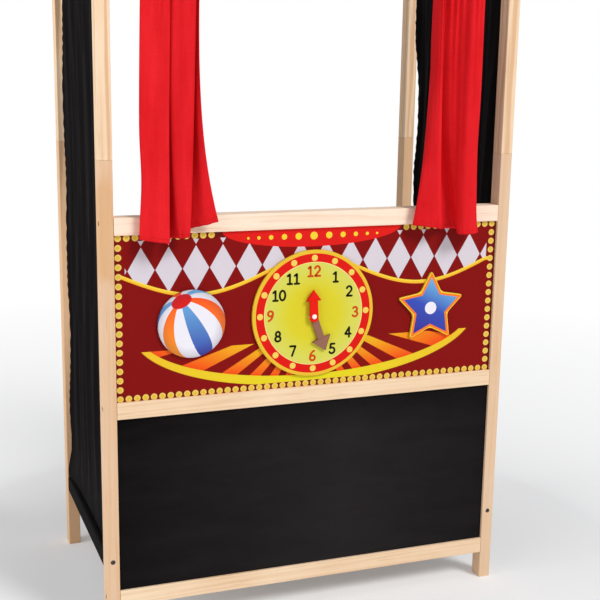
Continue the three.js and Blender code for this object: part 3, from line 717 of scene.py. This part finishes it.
def rounded_corners(points, radius, steps=6):
    """An outline whose corners are quadratic curves that start a radius away from them."""
    points = np.array(points)
    before, after = np.roll(points, 1, axis=0), np.roll(points, -1, axis=0)

    def towards(other):
        way = other - points
        return points + way / np.linalg.norm(way, axis=1, keepdims=True) * radius

    start, end = towards(before)[:, None], towards(after)[:, None]
    t = np.linspace(0, 1, steps + 1)[None, :, None]
    curve = (1 - t) ** 2 * start + 2 * t * (1 - t) * points[:, None] + t ** 2 * end
    return curve.reshape(-1, 2)


# Numerals of the dial: strokes in a box 1 high, drawn with a round nib

numeral_height = 20 * MM
nib = 0.18

DIGITS = {
    "0": halves((0.30, 0.50), (0.24, 0.40), 90),
    "1": [[(0.12, 0.76), (0.31, 0.91), (0.31, 0.09)], [(0.12, 0.09), (0.50, 0.09)]],
    "2": [[*arc((0.29, 0.66), (0.22, 0.25), 160, -30), (0.08, 0.09), (0.54, 0.09)]],
    "3": [arc((0.27, 0.71), (0.19, 0.20), 150, -90), arc((0.27, 0.30), (0.23, 0.21), 90, -150)],
    "4": [[(0.42, 0.09), (0.42, 0.91)], [(0.42, 0.91), (0.06, 0.34), (0.57, 0.34)]],
    "5": [[(0.50, 0.91), (0.17, 0.91), (0.13, 0.55)], arc((0.28, 0.34), (0.24, 0.25), 125, -150)],
    "6": [arc((0.50, 0.30), (0.42, 0.61), 98, 180), *halves((0.30, 0.30), (0.22, 0.21), 0)],
    "7": [[(0.07, 0.91), (0.54, 0.91), (0.24, 0.09)]],
    "8": halves((0.30, 0.71), (0.18, 0.20), 90) + halves((0.30, 0.30), (0.23, 0.21), 90),
    "9": [*halves((0.29, 0.69), (0.21, 0.21), 0), arc((0.09, 0.69), (0.41, 0.60), 0, -82)],
}
digit_pitch = 0.62


def even_path(points, step):
    """The same path with points at even distances, about a step apart."""
    points = np.array(points)
    length = np.insert(np.cumsum(np.linalg.norm(np.diff(points, axis=0), axis=1)), 0, 0.0)
    at = np.linspace(0, length[-1], max(int(length[-1] / step), 2) + 1)
    return np.stack([np.interp(at, length, points[:, i]) for i in range(2)], axis=-1)


def nib_stroke(points, width):
    """Left and right edges of a round-nibbed stroke: half its width is r, and the ends close as
    sqrt(r^2 - s^2) at a distance s past the path's end."""
    path = even_path(points, width / 6)
    r = width / 2
    s = r * np.sin(np.linspace(0, math.pi / 2, 7))[1:, None]
    first, last = path[0] - path[1], path[-1] - path[-2]
    head = path[0] + s[::-1] * first / np.linalg.norm(first)
    tail = path[-1] + s * last / np.linalg.norm(last)
    spine = np.concatenate([head, path, tail])
    close = np.sqrt(np.maximum(r ** 2 - s ** 2, 0.0))[:, 0]
    reach = np.concatenate([close[::-1], np.full(len(path), r), close])[:, None]
    run = np.gradient(spine, axis=0)
    run /= np.linalg.norm(run, axis=1, keepdims=True)
    side = joined(-run[:, 1], run[:, 0]) * reach
    return spine - side, spine + side


numeral_shift = {
    1: (0.6, -2.0), 2: (-2.0, -1.0), 3: (0.0, -1.4), 4: (-2.7, 0.0), 5: (-3.1, -0.4),
    6: (-0.8, -0.4), 7: (1.5, 0.6), 8: (2.5, 0.8), 9: (-0.6, 0.6), 10: (3.5, -2.0),
    11: (0.6, -1.6), 12: (-0.8, 0.0),
}


def numerals(name, hours, material):
    """All the strokes of some hours as thin closed ribbons on the dial's face, each stroke of a
    digit a quarter thicker than the one before it."""
    reach_x, reach_z = 0.70 * dial_radius, 0.668 * dial_radius
    layer, points, faces = 0, [], []
    for hour in hours:
        text = str(hour)
        angle = TURN * hour / 12
        origin = np.array([dial_x + reach_x * math.sin(angle), dial_z + reach_z * math.cos(angle)])
        origin = origin + MM * np.array(numeral_shift[hour])
        for i, digit in enumerate(text):
            offset = np.array([digit_pitch * (i - len(text) / 2), -0.5])
            for order, stroke in enumerate(DIGITS[digit]):
                edges = nib_stroke(stroke, nib)
                left, right = [(edge + offset) * numeral_height + origin for edge in edges]
                low, high = dial_front + 0.02 * MM, dial_front - 0.12 * MM * (1 + order / 4)
                sides = [(left, low), (left, high), (right, high), (right, low)]
                sides = [np.insert(edge, 1, depth, axis=1) for edge, depth in sides]
                ribbon = np.stack(sides, axis=1)
                faces.append(grid_faces(len(left), 4, True) + layer)
                points.append(ribbon.reshape(-1, 3))
                layer += len(points[-1])
    points, faces = np.concatenate(points), np.concatenate(faces)
    piece = mesh_piece(name, points, faces, material, "frame", smooth=False)
    sealed(piece, 1e-7)


# Clock

def clock_face(material):
    """The dial: a flat disc whose front edge is a quarter round of 1.2 mm."""
    (front, back), edge = span("clock_disc", "y"), 1.2 * MM
    profile = [(back, 0.0), (back, dial_radius), (front + edge, dial_radius)]
    profile += quarter_round((front + edge, dial_radius), (front, dial_radius - edge))
    profile += [(front, 0.0)]
    piece = turned_piece("dial", profile, (dial_x, 0.0, dial_z), "y", material, 256)
    for polygon in piece.data.polygons:
        polygon.use_smooth = abs(polygon.normal.y) < 0.999
    stand_in(piece, "clock_disc")


def clock_hand(node, sizes, angle, material):
    """An arrow from a round tail below the pin to its tip, turned clockwise from 12."""
    length, shaft, head_width, head_length = (size * MM for size in sizes)
    shaft, wing, neck = shaft / 2, head_width / 2, length - head_length
    tail = arc((0, -2 * MM), (shaft, shaft), 180, 360, 16)
    head = [(shaft, neck), (wing, neck), (0, length), (-wing, neck), (-shaft, neck)]
    outline = np.concatenate([tail, rounded_corners(head, 0.8 * MM)])
    c, s = math.cos(angle), math.sin(angle)
    outline = outline @ np.array([[c, -s], [s, c]]) + np.array([pivot_x, pivot_z])
    plate(f"{node}_board", node, outline, 0.7 * MM, node, material)


def pivot_pin(material):
    """The pin through the hands; its domed head's depth is h * sqrt(1 - (r / R)^2)."""
    front, back = span("clock_pin", "y")
    head, shank, rise = half("clock_pin", "x"), 2.5 * MM, 2.5 * MM
    profile = [(back, 0.0), (back, shank), (front + rise, shank), (front + rise, head)]
    for share in np.sin(np.linspace(math.pi / 2, 0, 10))[1:]:
        profile.append((front + rise * (1 - math.sqrt(1 - share * share)), head * share))
    piece = turned_piece("pin", profile, (pivot_x, 0.0, pivot_z), "y", material, 48)
    stand_in(piece, "clock_pin")


# Raised cut-outs

board_rim = 0.9 * MM


def ball_board():
    """A round board of 128 points."""
    centre = (middle("ball_cutout", "x"), middle("ball_cutout", "z"))
    radius = half("ball_cutout", "x")
    outline = arc(centre, (radius, radius), 0, 360 * 127 / 128, 127)
    material = ball_print(*centre, radius)
    plate("ball_board", "ball_cutout", outline, board_rim, "frame", material)


def star_board():
    """Five points between a tip radius and a waist radius, each corner rounded."""
    tip, waist, points = 66 * MM, 0.52 * 66 * MM, 5
    centre = (middle("star_cutout", "x"), sill_top - 176 * MM)
    turns = np.arange(2 * points)
    angle = math.pi / 2 + turns * math.pi / points
    radius = np.where(turns % 2, waist, tip)
    corners = np.array(centre) + joined(radius * np.cos(angle), radius * np.sin(angle))
    outline = rounded_corners(corners, 7 * MM, 8)
    material = star_print(*centre, tip, waist, points)
    plate("star_board", "star_cutout", outline, board_rim, "frame", material)


# Rod, brackets and screws

def rod(material):
    """The dowel, with a small chamfer at each end."""
    (start, end), edge = span("curtain_rod", "x"), 0.8 * MM
    profile = [(start, 0.0), (start, rod_radius - edge), (start + edge, rod_radius)]
    profile += [(end - edge, rod_radius), (end, rod_radius - edge), (end, 0.0)]
    piece = turned_piece("rod_dowel", profile, (0.0, rod_y, rod_z), "x", material, 72)
    stand_in(piece, "curtain_rod")


def screw_head(node, axis, sign, material):
    """A pan head with a cross recess: its depth is a groove along each arm of the cross.

    The head's face is 0.5 mm * (r / R)^2 lower at its rim, and the recess sinks 1.6 mm where
    min(|a|, |b|) is under half a groove's width and max(|a|, |b|) under its reach.
    """
    low, high = map(np.array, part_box(node))
    index = "xyz".index(axis)
    length = (high - low)[index]
    origin = (low + high) / 2
    origin[index] = low[index] if sign > 0 else high[index]
    head, shank, depth, tip = 4 * MM, 2 * MM, 3.5 * MM, 5 * MM
    face = head * np.linspace(0.02, 1, 24)
    radius = np.concatenate([face, [head, shank, shank, 0.05 * MM]])
    stem = np.concatenate([0.5 * MM * (face / head) ** 2, [depth, depth, length - tip, length]])
    a, b = ring_coordinates(radius, 64)
    groove, reach, soft = 0.55 * MM, 2.2 * MM, 0.3 * MM
    near, far = np.minimum(abs(a), abs(b)), np.maximum(abs(a), abs(b))
    sunk = np.clip((groove - near) / soft + 0.5, 0, 1) * np.clip((reach - far) / soft + 0.5, 0, 1)
    on_face = (np.arange(len(radius)) < len(face))[:, None]
    stem = stem[:, None] + np.where(on_face, 1.6 * MM * sunk, 0.0)
    points = ringed_points(axis, sign * stem, [a, b], origin)
    piece = mesh_piece(f"{node}_cross", points, capped_faces(*a.shape), material, "frame")
    stand_in(sealed(piece), node)


def all_screws(material):
    """Every screw by its node: front and rear rails along x, side rails and brackets along y."""
    for node in sorted(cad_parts):
        if node.startswith("screw_side"):
            screw_head(node, "y", 1 if node.endswith("front") else -1, material)
        elif node.startswith("screw_rod"):
            screw_head(node, "y", -1, material)
        elif node.startswith("screw_"):
            screw_head(node, "x", 1 if middle(node, "x") < 0 else -1, material)


# Curtains

# The folds of each cloth at the rod and at the hem, in hundredths of its width, of the swing
# and of the hem's drop

left_style = SimpleNamespace(
    side=-1,
    rod_width=88.7 * MM,
    hem_width=126.7 * MM,
    rod_gap=8.3 * MM,
    hem_shift=8 * MM,
    outer_bow=4.1 * MM,
    bow_place=0.79,
    bow_spread=0.125,
    hem_kick=0 * MM,
    hem_drop=38 * MM,
    rod_folds=[
        [8, 2, 3, 14, 30, 45, 47, 42, 37, 38, 46, 48, 50, 70, 86, 94, 90, 82, 89, 94, 97, 100],
        [
            -94, -67, -22, 22, 50, 50, 17, -28, -61, -97, -81, -28, 25, 56, 50, 6, -50, -81,
            -100, -78, -22, -3,
        ],
    ],
    hem_folds=[
        [6, 2, 3, 9, 21, 33, 36, 33, 26, 31, 39, 44, 48, 54, 60, 63, 58, 56, 67, 74, 85, 100],
        [
            -97, -72, -33, 3, 36, 58, 22, -28, -61, -100, -83, -28, 22, 44, 28, -11, -50, -81,
            -100, -67, -25, -17,
        ],
        [92, 89, 87, 89, 95, 99, 100, 97, 95, 92, 89, 84, 82, 80, 79, 78, 72, 66, 55, 45, 34, 21],
    ],
)
right_style = SimpleNamespace(
    side=1,
    rod_width=87.5 * MM,
    hem_width=116.3 * MM,
    rod_gap=24 * MM,
    hem_shift=3 * MM,
    outer_bow=2 * MM,
    bow_place=0.68,
    bow_spread=0.14,
    hem_kick=6.5 * MM,
    hem_drop=43 * MM,
    rod_folds=[
        [27, 8, 0, 5, 15, 26, 35, 42, 51, 63, 74, 83, 90, 97, 91, 89, 90, 95, 98, 100, 101, 101],
        [
            -89, -83, -28, 22, 53, 58, 44, 0, -28, -44, -69, -111, -139, -83, -33, 6, 44, 50,
            28, 6, -22, -50,
        ],
    ],
    hem_folds=[
        [13, 3, 0, 3, 10, 18, 27, 31, 31, 28, 23, 25, 33, 43, 50, 54, 60, 67, 78, 90, 100, 94],
        [
            -89, -78, -33, 22, 56, 72, 69, 39, 0, -33, -56, -83, -100, -100, -72, -25, 17, 17,
            0, -17, -44, -81,
        ],
        [
            93, 95, 95, 98, 100, 100, 100, 100, 98, 95, 91, 88, 86, 85, 84, 81, 79, 73, 70, 66,
            63, 64,
        ],
    ],
)
rod_outer_x = corner("rod_bracket_right", 0, "x") - 3 * MM
curtain_swing = 18 * MM
curtain_spread = 0.12
curtain_flare = 3.0
rear_depth, rear_depth_open = 1.17, 1.57
sleeve_gap = 1.2 * MM


def smooth_through(marks, share):
    """A Catmull-Rom curve through evenly placed marks, with a row for each coordinate: between
    marks b and c, at f of the way, it is half of
    2b + (c - a) f + (2a - 5b + 4c - d) f^2 + (3b - a - 3c + d) f^3."""
    marks = np.transpose(marks)
    padded = np.concatenate([[2 * marks[0] - marks[1]], marks, [2 * marks[-1] - marks[-2]]])
    run = share * (len(marks) - 1)
    i = np.minimum(np.floor(run).astype(int), len(marks) - 2)
    f = (run - i)[..., None]
    a, b, c, d = (padded[i + n] for n in range(4))
    cubic = (3 * b - a - 3 * c + d) * f ** 3
    return 0.5 * (2 * b + (c - a) * f + (2 * a - 5 * b + 4 * c - d) * f ** 2 + cubic)


def curtain_hang(style, along, down):
    """The hanging cloth at shares across and down: its folds turn from those at the rod into those
    at the hem by down ^ 3 and open out of the evenly gathered sleeve in a smooth step. Behind the
    rod they are 1.17 times as deep, and up to 1.57 times where only the open stage is behind."""
    at_rod = smooth_through(style.rod_folds, along) / 100
    at_hem = smooth_through(style.hem_folds, along) / 100
    flare = down ** curtain_flare
    step = np.minimum(down / curtain_spread, 1)
    spread = step ** 2 * (3 - 2 * step)
    at_top, at_bottom = style.rod_width * at_rod[..., 0], style.hem_width * at_hem[..., 0]
    folded = (1 - flare) * at_top + flare * at_bottom
    across = (1 - spread) * style.rod_width * along + spread * folded
    forward = curtain_swing * spread * ((1 - flare) * at_rod[..., 1] + flare * at_hem[..., 1])
    open_stage = np.sin(math.pi * np.clip((down - 0.1) / 0.8, 0, 1))
    deeper = rear_depth + (rear_depth_open - rear_depth) * open_stage
    forward = np.where(forward < 0, deeper * forward, forward)
    bow = style.outer_bow * np.exp(-(((down - style.bow_place) / style.bow_spread) ** 2))
    kick = style.hem_kick * down ** 24
    edge = (1 - across / style.hem_width) ** 8
    outer = rod_outer_x - style.rod_gap + style.hem_shift * down + (kick - bow) * edge
    top = rod_z - rod_radius - sleeve_gap
    hem = sill_top - style.hem_drop * at_hem[..., 2]
    x = style.side * (outer - across)
    return np.stack([x, rod_y - forward, top + (hem - top) * down], axis=-1)


def curtain(name, style, material):
    """One cloth: up behind the rod, over it and down in folds, with small gathers that fade and
    a puckered line of stitching above the hem."""
    columns, sleeve_rows, hang_rows = 260, 18, 120
    gathers, gather_depth, gather_start, gather_fade = 17, 2.6 * MM, 12 * MM, 100 * MM
    puckers, pucker_depth, pucker_rise, pucker_reach = 13, 0.6 * MM, 8 * MM, 5 * MM
    side = style.side
    along = np.linspace(0, 1, columns)[None, :]
    down = np.linspace(0, 1, hang_rows)[:, None] ** 1.1
    hang = curtain_hang(style, *np.broadcast_arrays(along, down))
    drop = rod_z - hang[..., 2]
    gather = np.sin(TURN * (gathers * along + 0.25 * np.sin(5 * along * TURN)))
    fade = np.exp(-np.maximum(drop - gather_start, 0) / gather_fade) * np.minimum(30 * down, 1)
    hang[..., 1] += gather_depth * gather * fade
    to_hem = (1 - down) * (rod_z - sill_top)
    pucker = np.exp(-((to_hem - pucker_rise) / pucker_reach) ** 2)
    pull = np.sin(TURN * (puckers * (along + 6 * to_hem)) + 5 * np.sin(5 * along * TURN))
    pull = pull + np.sin(TURN * 23.3 * along + 2)
    hang[..., 1] += pucker_depth * pull * pucker
    hang[..., 2] += 0.2 * MM * (pull + np.sin(TURN * 5.7 * along + 1)) * down ** 40
    hang[..., 1] += 0.7 * MM * np.sin(TURN * (2.3 * along + 1.4 * down)) * down
    angle = np.linspace(-math.pi / 2, 1.5 * math.pi, sleeve_rows)[:-1, None]
    fullness = 1.4 * MM * (1 + gather) / 2 * np.sin((angle + math.pi / 2) / 2) ** 2
    wall = rod_radius + sleeve_gap + fullness
    sleeve = joined(hang[:1, :, 0], rod_y + wall * np.cos(angle), rod_z + wall * np.sin(angle))
    points = np.concatenate([sleeve, hang])
    across, length = run_lengths(points, 1)[None, :], run_lengths(points, 0)[:, None]
    piece = cloth_piece(f"{name}_drape", points, material, None, across, length - length[-1])
    stand_in(piece, f"{name}_curtain")
    outer = rod_outer_x - style.rod_gap
    start, end = ((side * x, rod_y, rod_z) for x in (outer, outer - style.rod_width))
    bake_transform(piece)


# Side cloths

side_cut = (0.365, 1.26)
side_slack = 0.9 * MM
edge_insets = {"left": [0, 2, 3, 1, 12, 19, 22, 12, 0], "right": [0, 14, 27, 33, 32, 28, 22, 12, 0]}
flare_height, flare_reach = 0.15, 0.036


def around_rail(rail, angle):
    """A rounded loop round a side rail: each part of the unit circle raised to a power of 1/5."""
    c, s = np.cos(angle), np.sin(angle)
    x = middle(rail, "x") + (half(rail, "x") + side_slack) * np.sign(c) * np.abs(c) ** 0.2
    z = middle(rail, "z") + (half(rail, "z") + side_slack) * np.sign(s) * np.abs(s) ** 0.2
    return x, z


def side_cloth(name, side, material):
    """Black cloth from rail to rail: upright folds 4 * sin(2 pi n) mm deep, with smaller ones
    across them, and a sleeve round each rail. The free rear edge is drawn in along a smooth line
    through even marks, with ripples and scallops, and flares out near the floor."""
    node = f"side_cloth_{name}"
    top_rail, bottom_rail = f"side_rail_{name}_top", f"side_rail_{name}_bottom"
    front, rear = span(node, "y")
    top = corner(top_rail, 0, "z") - side_slack
    bottom = corner(bottom_rail, 1, "z") + side_slack
    columns, rows, loop_rows = 130, 240, 33
    along = np.linspace(0, 1, columns)[None, :]
    down = np.linspace(0, 1, rows)[:, None]
    belly = np.minimum(np.minimum(6 * down, 6 * (1 - down)), 1)
    waist = MM * smooth_through([edge_insets[name]], down)[..., 0]
    ripple = 3 * MM * np.abs(np.sin(TURN * 4.2 * down + side)) * belly
    ripple = ripple + 1.2 * MM * np.abs(np.sin(TURN * 27 * down + 3 * np.sin(40 * down))) * belly

    def near_edge(share):
        return np.exp(-(1 - along) / share)

    turn = TURN * (5.5 * along + 0.15 * np.sin(3 * down + side))
    small = np.sin(2.7 * turn + 4 * np.sin(2.2 * down * math.pi + side))
    slant = np.sin(TURN * (3 * down + 1.5 * along)) * along
    curl = near_edge(0.03) * np.sin(TURN * 3.3 * down + side)
    folds = 4 * np.sin(turn) + 0.9 * small + 0.5 * slant + 2.5 * curl
    z = top + (bottom - top) * down
    flare = np.exp(-(((z - flare_height) / flare_reach) ** 2))
    scallop = np.abs(np.sin(TURN * (23 * down + 0.3 * np.sin(31 * down)))) * near_edge(0.04)
    outward = 9 * flare * near_edge(0.12) + 1.4 * belly * scallop
    x = middle(top_rail, "x") + MM * belly * folds + MM * side * outward
    y = front + (rear - (waist + ripple) * (1 - flare) * along ** 2 - front) * along
    hang = joined(x, y, z)
    angle = np.linspace(-math.pi / 2, 1.5 * math.pi, loop_rows)[:, None]
    upper, lower = around_rail(top_rail, angle), around_rail(bottom_rail, -angle)
    over = joined(upper[0], hang[0, :, 1], upper[1])
    under = joined(lower[0], hang[-1, :, 1], lower[1])
    points = np.concatenate([over[:-1], hang, under[1:]])
    width, length = along * side_cut[0], run_lengths(points, 0)[:, None]
    piece = cloth_piece(f"{name}_side_cloth", points, material, "frame", width, length)
    stand_in(piece, node)


# Studio

def camera():
    """The photograph's view, from the fit to the frame's corners: 1141 pixels of focal length
    across 600, from a place counted from the sill's front top edge."""
    data = bpy.data.cameras.new("photo_view")
    data.sensor_width, focal_pixels, photo_width = 36.0, 1141.02, 600
    data.lens = data.sensor_width * focal_pixels / photo_width
    turns = zip((-20.6778, -12.1475, -0.9499, 90.0), "ZXYX")
    view = Matrix.Translation((-0.68285, front_y - 1.73239, sill_top + 0.25127))
    for angle, axis in turns:
        view = view @ Matrix.Rotation(math.radians(angle), 4, axis)
    bpy.context.scene.camera = placed("photo_view", data)
    bpy.context.scene.camera.matrix_world = view


def lamp(name, place, target, size, power):
    """A round soft lamp at a place, turned to its target."""
    data = bpy.data.lights.new(name, "AREA")
    data.shape, data.size, data.energy = "DISK", size, power
    way = (Vector(target) - Vector(place)).normalized()
    turn = way.to_track_quat("-Z", "Y").to_matrix().to_4x4()
    placed(name, data).matrix_world = Matrix.Translation(place) @ turn


def studio_floor():
    """A pale floor that passes into the white background with the distance from the stand."""
    paint, x, y, _ = placed_paint("studio_floor")
    cloud = paint.noise(paint.place(), 1.5)
    pale = {"Color": paint.mix(cloud, (247, 247, 247), (243, 243, 244))}
    lit = paint.node("BsdfDiffuse", pale)
    white = paint.node("Emission", {"Color": linear(WHITE), "Strength": 1.0})
    far = ((length_of(x, y) - 0.7) / 1.8).clamped()
    share = (far ** 0.5 * 0.9 + 0.1) * paint.node("LightPath", output="Is Camera Ray")
    return paint.closed(paint.node("MixShader", {0: share, 1: lit, 2: white}))


def surroundings():
    """White where the camera or a reflection sees them, and dimmer as a light."""
    paint = Paint("studio", bpy.data.worlds.new("studio"))
    rays = ("Is Camera Ray", "Is Glossy Ray")
    seen, glossy = (paint.node("LightPath", output=ray) for ray in rays)
    dim = paint.node("Background", {"Color": (0.95, 0.97, 1.0, 1.0), "Strength": 0.42})
    bright = paint.node("Background", {"Color": linear(WHITE), "Strength": 1.0})
    sky = paint.node("MixShader", {0: seen.most(glossy), 1: dim, 2: bright})
    bpy.context.scene.world = paint.closed(sky, "World")


def studio():
    """A pale floor, white surroundings and three soft lamps."""
    size = 6.0
    corners = [(-size, -size, 0), (size, -size, 0), (size, size, 0), (-size, size, 0)]
    mesh = bpy.data.meshes.new("floor")
    mesh.from_pydata(corners, [], [(0, 1, 2, 3)])
    placed("floor", mesh)
    mesh.materials.append(studio_floor())
    surroundings()
    lamp("front_lamp", (3.9, -6.6, 6.9), (0.0, 0.0, 0.7), 3.4, 628.0)
    lamp("side_lamp", (-2.6, -1.6, 1.4), (0.0, 0.0, 0.7), 1.6, 12.0)
    lamp("left_lamp", (-2.6, 0.0, 1.3), (-0.36, 0.0, 0.6), 1.2, 26.0)
    bpy.context.scene.view_settings.view_transform = "Standard"


# The stand

def dress_node(node, material):
    """Gives a CAD node a material of its own kind."""
    piece = bpy.data.objects[node]
    if not piece.material_slots:
        piece.data.materials.append(material)
    for entry in piece.material_slots:
        entry.link = "OBJECT"
        entry.material = material


def timber():
    """Pine for every rail and post, each group in its own tone; the rear posts' darker, warmer tone
    is painted shade.
    """
    across, deep = pine("pine_rails", "x", 0.12), pine("pine_side_rails", "y")
    sill = pine("pine_sill", "x", -0.2, pale=(248, 224, 201))
    # Painted shade: the lower rear posts get a darker, warmer pine for the shade they stand in
    # behind the side cloths.
    lower = pine("pine_rear_posts_painted_shade", "z", 0.75, pale=(216, 186, 154))
    upper = pine("pine_upper_posts", "z", 0.1, lines=2.4)
    left_lower = pine("pine_left_post", "z", 0.4, (0.602, 0.742), (223, 192, 164), 0.9)
    right_lower = pine("pine_right_post", "z", 0.3, pale=(225, 198, 170))
    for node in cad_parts:
        if node.startswith("side_rail") or node.startswith("rod_bracket_"):
            dress_node(node, deep)
        elif node.endswith("_rail") and not node.startswith("screw"):
            dress_node(node, across)
        elif "_post_" in node:
            dress_node(node, lower if node.endswith("lower") else upper)
    dress_node("sill_rail", sill)
    dress_node("front_post_left_lower", left_lower)
    dress_node("front_post_right_lower", right_lower)
    rod(across)


def boards():
    dress_node("print_panel", printed_panel())
    dress_node("chalkboard", slate_paint())
    dress_node("header_panel", printed_header())
    ball_board()
    star_board()


def clock():
    clock_face(dial_print())
    ink = painted("numeral_black", (22, 24, 8), (36, 36, 16))
    red_ink = painted("numeral_red", (196, 62, 16), (206, 84, 30))
    numerals("black_numerals", [1, 2, 4, 5, 7, 8, 10, 11], ink)
    numerals("red_numerals", [12, 3, 6, 9], red_ink)
    red_paint = painted("hand_red", (232, 32, 20), (222, 26, 18))
    brown_paint = painted("hand_brown", (152, 106, 88), (140, 96, 80))
    clock_hand("hour_hand", (45.7, 15.5, 27, 19), math.radians(-2), red_paint)
    clock_hand("minute_hand", (65, 13.5, 35, 24), math.radians(159.5), brown_paint)
    plastic = white_plastic()
    pivot_pin(plastic)
    dress_node("clock_spacer", plastic)
    dress_node("clock_pin_cap", bright_cap())


def cloths():
    red = woven("red_cotton", (237, 38, 45), (208, 20, 26), -6 * MM)
    curtain("left", left_style, red)
    curtain("right", right_style, red)
    black = woven("black_cotton", (14, 12, 13), (22, 19, 20), 112 * MM)
    side_cloth("left", -1, black)
    side_cloth("right", 1, black)


timber()
boards()
clock()
cloths()
all_screws(dark_steel())
studio()
camera()
